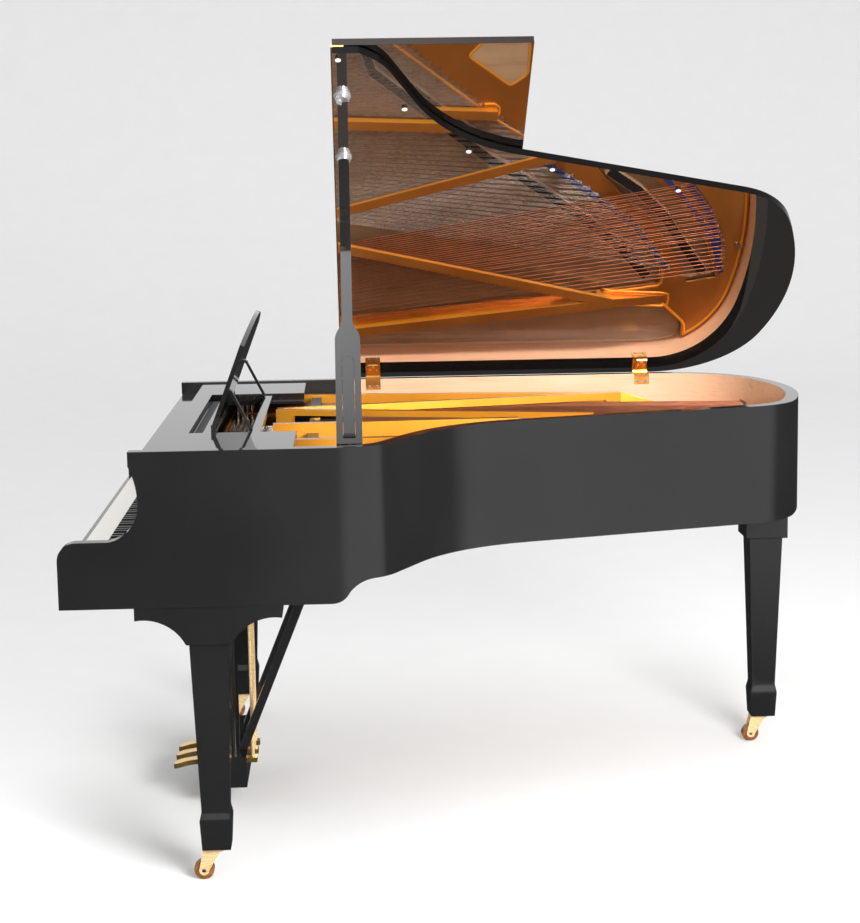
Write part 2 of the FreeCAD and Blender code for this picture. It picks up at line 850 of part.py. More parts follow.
# Key frame: base, balance rail, hammer rail and its two end brackets
def key_frame():
    half = key_row_width / 2
    base_top = key_frame_z + key_frame_height
    rear = key_front_x + key_lever_length
    base = box(key_front_x + key_thickness, rear, -half, half, key_frame_z, base_top)
    rail_x = balance_rail_x - balance_rail_width / 2
    rail_top = key_top_z - key_thickness - rail_gap
    rail = box(rail_x, rail_x + balance_rail_width, -half, half, base_top, rail_top)
    pivot_x = hammer_x - hammer_shank_length
    x0, x1 = pivot_x - hammer_rail_width, pivot_x
    rail_z = hammer_pivot_z - hammer_shank_height / 2 - rail_gap
    hammer_rail = box(x0, x1, -half, half, rail_z - hammer_rail_height, rail_z)
    end = key_block_gap / 2
    bracket = box(x0, x1, half, half + end, key_frame_z, rail_z)
    foot = box(x0, rear, half - end, half, key_frame_z, base_top)
    frame = base.fuse([rail, hammer_rail, bracket, bracket.mirror(vec(0, 0, 0), Y_AXIS), foot])
    return frame.removeSplitter()


# Hammers are drawn level, then let down to rest about their pivot line
def hammers(natural):
    pivot_x = hammer_x - hammer_shank_length
    x0, x1 = hammer_x - hammer_head_length / 2, hammer_x + hammer_head_length / 2
    half, side, nose = hammer_shank_height / 2, hammer_head_width / 2, hammer_head_length / 2
    low, top = hammer_pivot_z - half, hammer_pivot_z + hammer_head_height
    made = []
    for note, front, rear, radius, count, spacing in string_plan():
        if is_natural(note) != natural:
            continue
        y = front.y + (rear.y - front.y) * (hammer_x - front.x) / (rear.x - front.x)
        y0 = y - side
        head = edge_prism([
            line(vec(x0, y0, low), vec(x0, y0, top - nose)),
            arc(vec(x0, y0, top - nose), vec(hammer_x, y0, top), vec(x1, y0, top - nose)),
            line(vec(x1, y0, top - nose), vec(x1, y0, low)),
            line(vec(x1, y0, low), vec(x0, y0, low)),
        ], vec(0, hammer_head_width, 0))
        shank = box(pivot_x, hammer_x, y - half, y + half, low, hammer_pivot_z + half)
        hammer = head.fuse(shank).removeSplitter()
        hammer.rotate(vec(pivot_x, 0, hammer_pivot_z), Y_AXIS, hammer_rest_angle)
        made.append(hammer)
    return made


def dampers():
    made = []
    for note, front, rear, radius, count, spacing in string_plan():
        if note > damper_count:
            continue
        y = front.y + (rear.y - front.y) * (damper_x - front.x) / (rear.x - front.x)
        z0 = front.z + radius + damper_felt_gap
        x0, side = damper_x - damper_length / 2, damper_width / 2
        made.append(box(x0, x0 + damper_length, y - side, y + side, z0, z0 + damper_height))
    return made


# Legs, casters, lyre and pedals

flare_shares = (0.72, 0.34)
toe_sag_share = 0.25
leg_places = {"treble": (front_leg_x, -front_leg_y), "bass": (front_leg_x, front_leg_y),
              "tail": (tail_leg_x, tail_leg_y)}


def front_leg_block(y):
    long_half, neck_half = leg_block_length / 2, leg_neck_length / 2
    z1 = cheek_bottom_z - leg_block_height
    z2 = z1 - leg_flare_height
    y0 = y - leg_block_width / 2
    sides = {}
    for side in (-1, 1):
        outer = vec(front_leg_x + side * long_half, y0, z1)
        inner = vec(front_leg_x + side * neck_half, y0, z2)
        bend = vec(outer.x + (inner.x - outer.x) * flare_shares[0], y0,
                   outer.z + (inner.z - outer.z) * flare_shares[1])
        sides[side] = (vec(outer.x, y0, cheek_bottom_z), outer, bend, inner)
    left, right = sides[-1], sides[1]
    edges = [line(left[0], left[1]), arc(left[1], left[2], left[3]), line(left[3], right[3]),
             arc(right[3], right[2], right[1]), line(right[1], right[0]), line(right[0], left[0])]
    return edge_prism(edges, vec(0, leg_block_width, 0))


def front_neck_z():
    return cheek_bottom_z - leg_block_height - leg_flare_height


def tail_neck_z():
    return front_neck_z() + tail_block_height


def leg_blocks():
    half = tail_block_length / 2
    top = soundboard_z - brace_drop - brace_height
    x0, x1, y0, y1 = tail_leg_x - half, tail_leg_x + half, tail_leg_y - half, tail_leg_y + half
    tail = box(x0, x1, y0, y1, tail_neck_z(), bentside_bottom_z)
    tongue = interior(interior_inset + glue_gap, bentside_bottom_z, top, x0, x1)
    tail = tail.fuse(tongue.common(box(x0, x1, y0, y1, bentside_bottom_z, top))).removeSplitter()
    return [front_leg_block(-front_leg_y), front_leg_block(front_leg_y), tail]


def square(width, x, y, z):
    half = width / 2
    corners = [vec(x - half, y - half, z), vec(x + half, y - half, z), vec(x + half, y + half, z),
               vec(x - half, y + half, z)]
    return Part.makePolygon(corners + corners[:1])


def leg(place):
    x, y = leg_places[place]
    top = tail_neck_z() if place == "tail" else front_neck_z()
    spade_top = leg_bottom_z + spade_height
    sections = [(leg_top_width, top), (leg_low_width, spade_top + spade_bevel_height),
                (spade_top_width, spade_top), (spade_bottom_width, leg_bottom_z)]
    pieces = []
    for (w0, z0), (w1, z1) in zip(sections, sections[1:]):
        pieces.append(Part.makeLoft([square(w0, x, y, z0), square(w1, x, y, z1)], True, True))
    socket = rod(caster_stem_radius + stem_clearance, vec(x, y, leg_bottom_z),
                 vec(x, y, leg_bottom_z + caster_stem_length))
    return pieces[0].fuse(pieces[1:]).removeSplitter().cut(socket)


def caster_fork(place):
    x, y = leg_places[place]
    axle = vec(x - caster_offset, y, caster_wheel_radius)
    crown_top = leg_bottom_z - caster_top_gap
    crown_low = crown_top - caster_crown_height
    inner = caster_wheel_width / 2 + caster_side_gap
    outer = inner + caster_cheek_thickness
    crown = rod(outer, vec(x, y, crown_low), vec(x, y, crown_top))
    bridge = box(axle.x, x, y - outer, y + outer, crown_low, crown_top)
    stem_top = leg_bottom_z + caster_stem_length - stem_clearance
    stem = rod(caster_stem_radius, vec(x, y, crown_low), vec(x, y, stem_top))
    boss = caster_wheel_radius / 2
    pieces = [bridge, stem]
    for y0 in (y - outer, y + inner):
        profile = [vec(axle.x - boss, y0, axle.z), vec(axle.x + boss, y0, axle.z),
                   vec(x + boss, y0, crown_top), vec(axle.x, y0, crown_top)]
        cheek = prism(profile, vec(0, caster_cheek_thickness, 0))
        round_end = rod(boss, vec(axle.x, y0, axle.z), vec(axle.x, y0 + caster_cheek_thickness, axle.z))
        pieces += [cheek, round_end]
    pieces.append(rod(caster_axle_radius, axle - vec(0, outer, 0), axle + vec(0, outer, 0)))
    return crown.fuse(pieces).removeSplitter()


def caster_wheel(place):
    x, y = leg_places[place]
    axle = vec(x - caster_offset, y, caster_wheel_radius)
    half = vec(0, caster_wheel_width / 2, 0)
    wheel = rod(caster_wheel_radius, axle - half, axle + half)
    return wheel.cut(rod(caster_axle_radius + stem_clearance, axle - half, axle + half))


def lyre_frame():
    x0, half = lyre_x - lyre_block_length / 2, lyre_block_width / 2
    low = cheek_bottom_z - lyre_block_height
    pieces = [box(x0, x0 + lyre_block_length, -half, half, low, cheek_bottom_z)]
    for y in (-lyre_post_spacing / 2, lyre_post_spacing / 2):
        pieces.append(rod(lyre_post_radius, vec(lyre_x, y, lyre_box_top_z), vec(lyre_x, y, low)))
    return pieces


def lyre_box():
    x0, half = lyre_x - lyre_box_length / 2, lyre_box_width / 2
    x1, low = x0 + lyre_box_length, lyre_box_top_z - lyre_box_height
    body = box(x0, x1, -half, half, low, lyre_box_top_z)
    for offset in (-pedal_spacing, 0, pedal_spacing):
        side = pedal_width / 2 + pedal_pin_clearance + pedal_rod_gap
        rise = pedal_thickness / 2 + pedal_slot_gap
        body = body.cut(box(x0, x1, offset - side, offset + side, pedal_z - rise, pedal_z + rise))
    bore = pedal_pin_radius + pedal_pin_clearance
    reach = pedal_spacing + pedal_width
    return body.cut(rod(bore, vec(lyre_x, -reach, pedal_z), vec(lyre_x, reach, pedal_z)))


def lyre_braces():
    x0 = lyre_x + lyre_box_length / 2 - lyre_brace_width
    made = []
    for y in (-lyre_post_spacing / 2, lyre_post_spacing / 2):
        y0 = y - lyre_brace_width / 2
        profile = [vec(x0, y0, lyre_box_top_z), vec(x0 + lyre_brace_width, y0, lyre_box_top_z),
                   vec(x0 + lyre_brace_width + lyre_brace_reach, y0, cheek_bottom_z),
                   vec(x0 + lyre_brace_reach, y0, cheek_bottom_z)]
        made.append(prism(profile, vec(0, lyre_brace_width, 0)))
    return made


def pedal(offset):
    half, thick = pedal_width / 2, pedal_thickness / 2
    front = lyre_x - lyre_box_length / 2 - pedal_reach
    rear = lyre_x + lyre_box_length / 2 + pedal_tail
    toe = pedal_toe_width / 2
    back_x = front + pedal_toe_length
    low, high = pedal_z - thick, pedal_z + thick
    bar = box(back_x, rear, offset - half, offset + half, low, high)
    outline = [line(vec(back_x, offset - half, 0), vec(back_x, offset + half, 0)),
               line(vec(back_x, offset + half, 0), vec(front + toe, offset + toe, 0)),
               arc(vec(front + toe, offset + toe, 0), vec(front, offset, 0),
                   vec(front + toe, offset - toe, 0)),
               line(vec(front + toe, offset - toe, 0), vec(back_x, offset - half, 0))]
    drop = pedal_thickness
    sag = drop * toe_sag_share
    plate = edge_prism(outline, vec(0, 0, drop + pedal_thickness))
    plate.translate(vec(0, 0, low - drop))
    y0, mid_x = offset - toe, (front + back_x) / 2
    side = [line(vec(back_x, y0, high), vec(back_x, y0, low)),
            arc(vec(back_x, y0, low), vec(mid_x, y0, low - sag), vec(front, y0, low - drop)),
            line(vec(front, y0, low - drop), vec(front, y0, high - drop)),
            arc(vec(front, y0, high - drop), vec(mid_x, y0, high - sag), vec(back_x, y0, high))]
    curve = edge_prism(side, vec(0, pedal_toe_width, 0))
    pin_end = half + pedal_rod_radius
    pin = rod(pedal_pin_radius, vec(lyre_x, offset - pin_end, pedal_z),
              vec(lyre_x, offset + pin_end, pedal_z))
    return bar.fuse([plate.common(curve), pin]).removeSplitter()


def pedal_rod(offset):
    x = lyre_x + lyre_box_length / 2 + pedal_tail / 2
    low = pedal_z + pedal_thickness / 2 + pedal_rod_gap
    return rod(pedal_rod_radius, vec(x, offset, low), vec(x, offset, cheek_bottom_z - pedal_rod_top_gap))


# Lid, hinges and prop

# Places of the hinges along the straight of the spine
hinge_place_shares = (0.468055, 0.979594)
shoulder_low_shares = (0.25, 0.5)
shoulder_high_shares = (0.75, 0.5)
# Which edge of the rim's plan each button meets, and how far along it
button_edge_shares = ((1, 0.155), (3, 0.009), (3, 0.664), (4, 0.171), (4, 0.721))


# Where the straight bass side of the case, its spine, ends
def spine_end_x():
    return case_chain()[-2][1]


# Turns a shape or point drawn on the closed lid to where the open lid holds it
def raised(shape):
    shape.rotate(vec(0, hinge_y, hinge_z), X_AXIS, -lid_angle)
    return shape


def raised_point(x, y, z):
    dy, dz = y - hinge_y, z - hinge_z
    return vec(x, hinge_y + dy * lid_cos + dz * lid_sin, hinge_z - dy * lid_sin + dz * lid_cos)


def hinge_span(index, x):
    step = hinge_leaf_length / hinge_knuckle_count
    x0 = x - hinge_leaf_length / 2 + step * index
    return x0 + hinge_end_gap / 2, x0 + step - hinge_end_gap / 2


def hinge_rod(radius, x0, x1):
    return rod(radius, vec(x0, hinge_y, hinge_z), vec(x1, hinge_y, hinge_z))


def flap_axis():
    return lid_break_x, lid_top_z + flap_rest_gap / 2


def flap_rod(radius, y0, y1):
    x, z = flap_axis()
    return rod(radius, vec(x, y0, z), vec(x, y1, z))


def lid_main():
    rear = case_length + lid_overhang
    x0, edge = lid_break_x + flap_seam / 2, half_width + lid_overhang
    lid = interior(-lid_overhang, lid_bottom_z, lid_top_z, x0, rear)
    lid = lid.common(box(x0, rear, -half_width, edge, lid_bottom_z, lid_top_z))
    for share in hinge_place_shares:
        x = spine_end_x() * share
        reach = hinge_leaf_length / 2 + hinge_end_gap
        lid = lid.cut(hinge_rod(hinge_knuckle_radius + hinge_relief, x - reach, x + reach))
    return raised(lid.cut(flap_rod(flap_knuckle_radius + hinge_relief, -edge, edge)))


def lid_flap():
    edge = half_width + lid_overhang
    x0, z0 = lid_break_x + flap_seam / 2, lid_top_z + flap_rest_gap
    flap = box(x0, lid_break_x + lid_flap_length, -half_width, edge, z0, z0 + lid_thickness)
    return raised(flap.cut(flap_rod(flap_knuckle_radius + hinge_relief, -edge, edge)))


# Case leaves lie across the rim top and down its inner face, with the middle knuckle and the pin
def lid_hinge_case():
    made = []
    for share in hinge_place_shares:
        x = spine_end_x() * share
        x0, x1 = x - hinge_leaf_length / 2, x + hinge_leaf_length / 2
        inside = inner_face - hinge_leaf_thickness
        top = rim_top_z + hinge_leaf_thickness
        leaf = box(x0, x1, inside, hinge_y, rim_top_z, top)
        leaf = leaf.fuse(box(x0, x1, inside, inner_face, rim_top_z - hinge_leaf_drop, top))
        for index in (0, 2):
            a, b = hinge_span(index, x)
            relief = hinge_knuckle_radius + hinge_relief
            leaf = leaf.cut(hinge_rod(relief, a - hinge_end_gap, b + hinge_end_gap / 2))
        knuckle = hinge_rod(hinge_knuckle_radius, *hinge_span(1, x))
        made.append(leaf.fuse([knuckle, hinge_rod(hinge_pin_radius, x0, x1)]).removeSplitter())
    return made


# Lid leaves narrow towards their free end and carry the outer knuckles
def lid_hinge_lid():
    made = []
    for share in hinge_place_shares:
        x = spine_end_x() * share
        half, tip = hinge_leaf_length / 2, hinge_leaf_length / hinge_knuckle_count
        z0 = lid_bottom_z - hinge_leaf_thickness
        y1 = hinge_y - hinge_leaf_reach
        leaf = prism([vec(x - half, hinge_y, z0), vec(x + half, hinge_y, z0), vec(x + tip, y1, z0),
                      vec(x - tip, y1, z0)], vec(0, 0, hinge_leaf_thickness))
        a, b = hinge_span(1, x)
        relief = hinge_knuckle_radius + hinge_relief
        leaf = leaf.cut(hinge_rod(relief, a - hinge_end_gap, b + hinge_end_gap))
        leaf = leaf.fuse([hinge_rod(hinge_knuckle_radius, *hinge_span(index, x)) for index in (0, 2)])
        bore = hinge_rod(hinge_pin_radius + hinge_clearance, x - half, x + half)
        made.append(raised(leaf.removeSplitter().cut(bore)))
    return made


# One leaf of the long flap hinge, with every second knuckle
def flap_hinge(first, z0):
    edge = half_width
    x = lid_break_x + flap_knuckle_radius
    leaf = box(lid_break_x, x + flap_leaf_reach, -edge, edge, z0, z0 + flap_leaf_thickness)
    step = 2 * edge / flap_knuckle_count
    knuckles = []
    for index in range(flap_knuckle_count):
        y0 = -edge + step * index
        if index % 2 == first:
            knuckles.append(flap_rod(flap_knuckle_radius, y0 + hinge_end_gap / 2,
                                     y0 + step - hinge_end_gap / 2))
        else:
            leaf = leaf.cut(flap_rod(flap_knuckle_radius + hinge_relief, y0 - hinge_end_gap / 2,
                                     y0 + step + hinge_end_gap / 2))
    return leaf.fuse(knuckles).removeSplitter()


def flap_hinge_main():
    leaf = flap_hinge(0, lid_top_z)
    return raised(leaf.fuse(flap_rod(flap_pin_radius, -half_width, half_width)).removeSplitter())


def flap_hinge_flap():
    leaf = flap_hinge(1, lid_top_z + flap_rest_gap - flap_leaf_thickness)
    return raised(leaf.cut(flap_rod(flap_pin_radius + hinge_clearance, -half_width, half_width)))


def lid_buttons():
    made = []
    edges = plan_edges(rim_thickness / 2, lid_bottom_z, 0)
    for number, share in button_edge_shares:
        top = along_edge(edges[number], share)
        made.append(raised(rod(lid_button_radius, top, top - vec(0, 0, lid_button_height))))
    return made


# Where a point at this depth of the open lid lies when the lid is closed
def closed_y(y):
    return hinge_y - (hinge_y - y) / lid_cos


# Each cup is open on the side by which the prop's tip leaves it
def prop_cups():
    leave = prop_axis().cross(prop_reach())
    heading = math.degrees(math.atan2(leave.y * lid_cos - leave.z * lid_sin, leave.x))
    side = prop_tip_radius + cup_slot_gap
    made = []
    for y in (prop_cup_y, upper_cup_y):
        top = vec(prop_x, closed_y(y), lid_bottom_z)
        floor, low = top - vec(0, 0, cup_flange_height), top - vec(0, 0, cup_height)
        body = rod(cup_flange_radius, top, floor).fuse(rod(cup_radius, top, low))
        body = body.cut(rod(cup_bore_radius, low, floor))
        slot = box(top.x, top.x + cup_flange_radius, top.y - side, top.y + side, low.z, floor.z)
        slot.rotate(top, Z_AXIS, heading)
        made.append(raised(body.cut(slot)))
    return made


def prop_pivot():
    return vec(prop_x, prop_pivot_y, prop_pivot_z)


def prop_reach():
    cup_floor = raised_point(prop_x, closed_y(prop_cup_y), lid_bottom_z - cup_flange_height)
    return cup_floor - prop_pivot()


# Hinge line of the prop: it swings the stick from its cup down to lie over the strings
def prop_axis():
    heading, rise = math.radians(prop_fold_heading), math.radians(prop_fold_rise)
    folded = vec(math.cos(heading) * math.cos(rise), math.sin(heading) * math.cos(rise), math.sin(rise))
    return prop_reach().cross(folded).normalize()


# Sets a solid drawn along +Z from the origin onto the prop's own line
def along_prop(shape):
    reach = prop_reach()
    tilt = math.degrees(math.atan2(-reach.y, reach.z))
    shape.rotate(vec(0, 0, 0), X_AXIS, tilt)
    shape.translate(prop_pivot())
    return shape


def prop_length():
    return prop_reach().Length - prop_tip_gap


def short_pivot_z():
    return prop_start + short_prop_width


# The short prop's round end has its centre here, up the long prop
def short_crown_z():
    return short_pivot_z() + short_prop_length - short_prop_width / 2


# Half of an ogee shoulder, between two corners of the prop's face
def shoulder(a, b, shares):
    bend = vec(a.x + (b.x - a.x) * shares[0], a.y, a.z + (b.z - a.z) * shares[1])
    return arc(a, bend, b)


def prop_stick():
    length, wide, neck = prop_length(), prop_width / 2, prop_neck_width / 2
    y0, wide_end = -prop_thickness / 2, prop_start + prop_wide_length
    neck_z, top = wide_end + prop_shoulder_length, length - prop_tip_length
    mid_x, mid_z = (wide + neck) / 2, (wide_end + neck_z) / 2
    edges = []
    for side in (-1, 1):
        low, high = vec(side * wide, y0, wide_end), vec(side * neck, y0, neck_z)
        middle = vec(side * mid_x, y0, mid_z)
        edges += [line(vec(side * wide, y0, prop_start), low), shoulder(low, middle, shoulder_low_shares),
                  shoulder(middle, high, shoulder_high_shares), line(high, vec(side * neck, y0, top))]
    edges += [line(vec(-wide, y0, prop_start), vec(wide, y0, prop_start)),
              line(vec(-neck, y0, top), vec(neck, y0, top))]
    body = edge_prism(Part.__sortEdges__(edges), vec(0, prop_thickness, 0))
    slot, crown = short_prop_width / 2 + short_prop_gap, short_crown_z()
    body = body.cut(box(-slot, slot, y0, -y0, prop_start + slot, crown))
    body = body.cut(rod(slot, vec(0, y0, crown), vec(0, -y0, crown)))
    body = body.fuse(rod(prop_tip_radius, vec(0, 0, top), vec(0, 0, length)))
    pin = rod(short_pin_radius, vec(-wide, 0, short_pivot_z()), vec(wide, 0, short_pivot_z()))
    neck_rod = rod(prop_eye_radius, vec(0, 0, 0), vec(0, 0, prop_start + prop_eye_radius / 2))
    body = along_prop(body.fuse([pin, neck_rod]))
    across, pivot = prop_axis() * (prop_eye_width / 2), prop_pivot()
    body = body.fuse(rod(prop_eye_radius, pivot - across, pivot + across))
    for side in (-1, 1):
        start = pivot + across * side
        body = body.cut(rod(prop_start - prop_ear_gap, start, start + across * side * 2))
    bore = rod(prop_pin_radius + hinge_clearance, pivot - across, pivot + across)
    return body.removeSplitter().cut(bore)


def short_prop():
    half, y0 = short_prop_width / 2, -prop_thickness / 2
    z0, crown = short_pivot_z(), short_crown_z()
    bar = box(-half, half, y0, -y0, z0, crown)
    bar = bar.fuse([rod(half, vec(0, y0, crown), vec(0, -y0, crown)),
                    rod(prop_thickness / 2, vec(-half, 0, z0), vec(half, 0, z0))])
    return along_prop(bar.removeSplitter().cut(rod(short_pin_radius + hinge_clearance, vec(-half, 0, z0),
                                                   vec(half, 0, z0))))


# Two ears and a pin on a post that stands on the plate beside the rim
def prop_bracket():
    pivot, axis = prop_pivot(), prop_axis()
    inside = prop_eye_width / 2 + prop_ear_gap
    outside = inside + prop_ear_thickness
    top = prop_pivot_z - prop_start
    half = outside + prop_ear_thickness
    level = vec(-axis.y, axis.x, 0).normalize() * (prop_ear_leg / 2)
    down = axis.cross(level).normalize() * (prop_start + prop_ear_thickness)
    if down.z > 0:
        down = down * -1
    pieces = [rod(prop_pin_radius, pivot - axis * outside, pivot + axis * outside)]
    for side in (-1, 1):
        a, b = pivot + axis * (side * inside), pivot + axis * (side * outside)
        pieces.append(rod(prop_eye_radius, a, b))
        pieces.append(prism([a + level, b + level, b - level, a - level], down))
    post = box(prop_x - half, prop_x + half, prop_pivot_y - half, prop_pivot_y + half, plate_top_z, top)
    return post.fuse(pieces).removeSplitter()


# Music shelf, desk and fallboard

lean_sin = math.sin(math.radians(desk_lean))
lean_cos = math.cos(math.radians(desk_lean))
shelf_bottom_z = shelf_top_z - shelf_thickness
tray_bottom_z = shelf_bottom_z + tray_runner_lap + tray_gap
tray_top_z = tray_bottom_z + tray_thickness
desk_hinge_z = tray_top_z + desk_hinge_rise


def music_shelf():
    edge, opening = inner_face - shelf_end_gap, shelf_opening_width / 2
    x1, x2 = shelf_front_x + shelf_front_width, shelf_front_x + shelf_length
    pieces = [box(shelf_front_x, x1, -edge, edge, shelf_bottom_z, shelf_top_z)]
    for side in (-1, 1):
        y0, y1 = sorted((side * opening, side * edge))
        pieces.append(box(x1, x2, y0, y1, shelf_bottom_z, shelf_top_z))
        y0, y1 = sorted((side * (opening - tray_runner_lap), side * opening))
        pieces.append(box(x1, x2, y0, y1, shelf_bottom_z, shelf_bottom_z + tray_runner_lap))
    ledge_end = tray_front_x + tray_bar_width
    pieces.append(box(x1, ledge_end, -opening, opening, shelf_bottom_z, shelf_bottom_z + tray_runner_lap))
    boards = pieces[0].fuse(pieces[1:]).removeSplitter()
    cleats = []
    for side in (-1, 1):
        y0, y1 = sorted((side * (inner_face - cleat_width), side * inner_face))
        cleats.append(box(shelf_front_x, x2, y0, y1, shelf_bottom_z - cleat_height, shelf_bottom_z))
    return [boards] + cleats


def desk_tray():
    edge = shelf_opening_width / 2 - tray_gap
    x1 = tray_front_x + tray_length
    frame = box(tray_front_x, x1, -edge, edge, tray_bottom_z, tray_top_z)
    inner = edge - tray_bar_width
    hole = box(tray_front_x + tray_bar_width, x1 - tray_bar_width, -inner, inner, tray_bottom_z, tray_top_z)
    frame = frame.cut(hole)
    lug_in, lug_out = desk_width / 2 + tray_gap, edge
    x0, x1 = desk_hinge_x - desk_knuckle_radius, desk_hinge_x + desk_knuckle_radius
    lug_top = desk_hinge_z + desk_knuckle_radius
    for side in (-1, 1):
        y0, y1 = sorted((side * lug_in, side * lug_out))
        pin_in = side * (lug_in - desk_pin_length)
        pin = rod(desk_pin_radius, vec(desk_hinge_x, pin_in, desk_hinge_z),
                  vec(desk_hinge_x, side * lug_out, desk_hinge_z))
        frame = frame.fuse([box(x0, x1, y0, y1, tray_top_z, lug_top), pin])
    return frame.removeSplitter()


# A point of the desk: s up the board, t towards its back
def desk_point(s, t, y):
    return vec(desk_hinge_x + s * lean_sin + t * lean_cos, y, desk_hinge_z + s * lean_cos - t * lean_sin)


def music_desk():
    half, t0 = desk_width / 2, -desk_thickness / 2
    side = desk_height * desk_side_share
    left, right = desk_point(side, t0, -half), desk_point(side, t0, half)
    edges = [line(desk_point(0, t0, half), desk_point(0, t0, -half)), line(desk_point(0, t0, -half), left),
             arc(left, desk_point(desk_height, t0, 0), right), line(right, desk_point(0, t0, half))]
    travel = desk_point(0, desk_thickness, 0) - desk_point(0, 0, 0)
    board = edge_prism(edges, travel)
    board = board.fuse(rod(desk_knuckle_radius, desk_point(0, 0, -half), desk_point(0, 0, half)))
    bore = half - desk_pin_length
    for sign in (-1, 1):
        board = board.cut(rod(desk_pin_radius + hinge_clearance, desk_point(0, 0, sign * bore),
                              desk_point(0, 0, sign * half)))
    place = desk_height * desk_strut_place_share
    back = desk_thickness / 2
    for sign in (-1, 1):
        board = board.fuse(strut_lugs(sign * desk_strut_y, place, back))
    return board.removeSplitter()


def strut_pin_t():
    return desk_thickness / 2 + desk_strut_thickness / 2 + tray_gap


# Two small lugs and a pin behind the desk, for one strut
def strut_lugs(y, place, back):
    gap, thick = desk_strut_width / 2 + tray_gap, desk_pin_radius
    reach, tall = strut_pin_t() + desk_strut_thickness / 2, desk_strut_thickness / 2
    made = []
    for sign in (-1, 1):
        y0 = y + min(sign * gap, sign * (gap + thick))
        corners = [desk_point(place - tall, back, y0), desk_point(place + tall, back, y0),
                   desk_point(place + tall, reach, y0), desk_point(place - tall, reach, y0)]
        made.append(prism(corners, vec(0, thick, 0)))
    made.append(rod(strut_pin_radius, desk_point(place, strut_pin_t(), y - gap),
                    desk_point(place, strut_pin_t(), y + gap)))
    return made


def strut_foot():
    return vec(desk_strut_foot_x, 0, tray_top_z + tray_gap + desk_strut_thickness / 2)


def desk_struts():
    place = desk_height * desk_strut_place_share
    made = []
    for sign in (-1, 1):
        y0 = sign * desk_strut_y - desk_strut_width / 2
        a = desk_point(place, strut_pin_t(), y0)
        b = strut_foot() + vec(0, y0, 0)
        along = (b - a).normalize()
        side = along.cross(Y_AXIS) * (desk_strut_thickness / 2)
        bar = prism([a + side, b + side, b - side, a - side], vec(0, desk_strut_width, 0))
        across = vec(0, desk_strut_width, 0)
        radius = desk_strut_thickness / 2
        bar = bar.fuse([rod(radius, a, a + across), rod(radius, b, b + across)]).removeSplitter()
        made.append(bar.cut(rod(strut_pin_radius + hinge_clearance, a, a + across)))
    return made


def fallboard():
    edge = inner_face - fallboard_side_gap
    half = fallboard_thickness / 2
    x0, x1 = fallboard_x - half, fallboard_x + half
    low, top = fallboard_z - half, fallboard_z + fallboard_height - half
    panel = box(x0, x1, -edge, edge, fallboard_z, top)
    lip = box(x0 - fallboard_lip, x0, -edge, edge, top - fallboard_thickness, top)
    root = rod(half, vec(fallboard_x, -edge, fallboard_z), vec(fallboard_x, edge, fallboard_z))
    reach = inner_face + fallboard_pin_length - fallboard_pin_clearance
    pin = rod(fallboard_pin_radius, vec(fallboard_x, -reach, fallboard_z),
              vec(fallboard_x, reach, fallboard_z))
    return panel.fuse([lip, root, pin]).removeSplitter()


os.makedirs("parts", exist_ok=True)

save("outer_rim", outer_rim())
save("inner_rim", inner_rim())
save("keybed", keybed())
save("key_slip", key_slip())
save("key_blocks", key_blocks())
save("belly_rail", belly_rail())
save("back_braces", back_braces())
save("soundboard", soundboard())
save("soundboard_ribs", soundboard_ribs())
save("string_bridges", string_bridges())
save("iron_plate", iron_plate())
save("plate_bolts", plate_bolts())
save("pin_block", pin_block())
save("tuning_pins", tuning_pins())
save("agraffes", agraffes())
save("hitch_pins", hitch_pins())
save("plain_strings", strings(False))
save("wound_strings", strings(True))
save("string_felts", string_felts())

save("key_frame", key_frame())
save("natural_keys", natural_keys())
save("sharp_keys", sharp_keys())
save("natural_hammers", hammers(True))
save("sharp_hammers", hammers(False))
save("dampers", dampers())

save("leg_blocks", leg_blocks())
for place in leg_places:
    save("leg_" + place, leg(place))
    save("caster_fork_" + place, caster_fork(place))
    save("caster_wheel_" + place, caster_wheel(place))

save("lyre_frame", lyre_frame())
save("lyre_box", lyre_box())
save("lyre_braces", lyre_braces())
for name, offset in (("sustain", -pedal_spacing), ("sostenuto", 0), ("soft", pedal_spacing)):
    save("pedal_" + name, pedal(offset))
    save("pedal_rod_" + name, pedal_rod(offset))

save("lid_main", lid_main())
save("lid_flap", lid_flap())
save("lid_hinge_case", lid_hinge_case())
save("lid_hinge_lid", lid_hinge_lid())
save("flap_hinge_main", flap_hinge_main())
save("flap_hinge_flap", flap_hinge_flap())
save("lid_buttons", lid_buttons())
save("prop_cups", prop_cups())
save("prop_stick", prop_stick())
save("short_prop", short_prop())
save("prop_bracket", prop_bracket())

save("music_shelf", music_shelf())
save("desk_tray", desk_tray())
save("music_desk", music_desk())
save("desk_struts", desk_struts())
save("fallboard", fallboard())
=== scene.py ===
import math

import bmesh
import bpy
from mathutils import Matrix, Vector
from mathutils.bvhtree import BVHTree


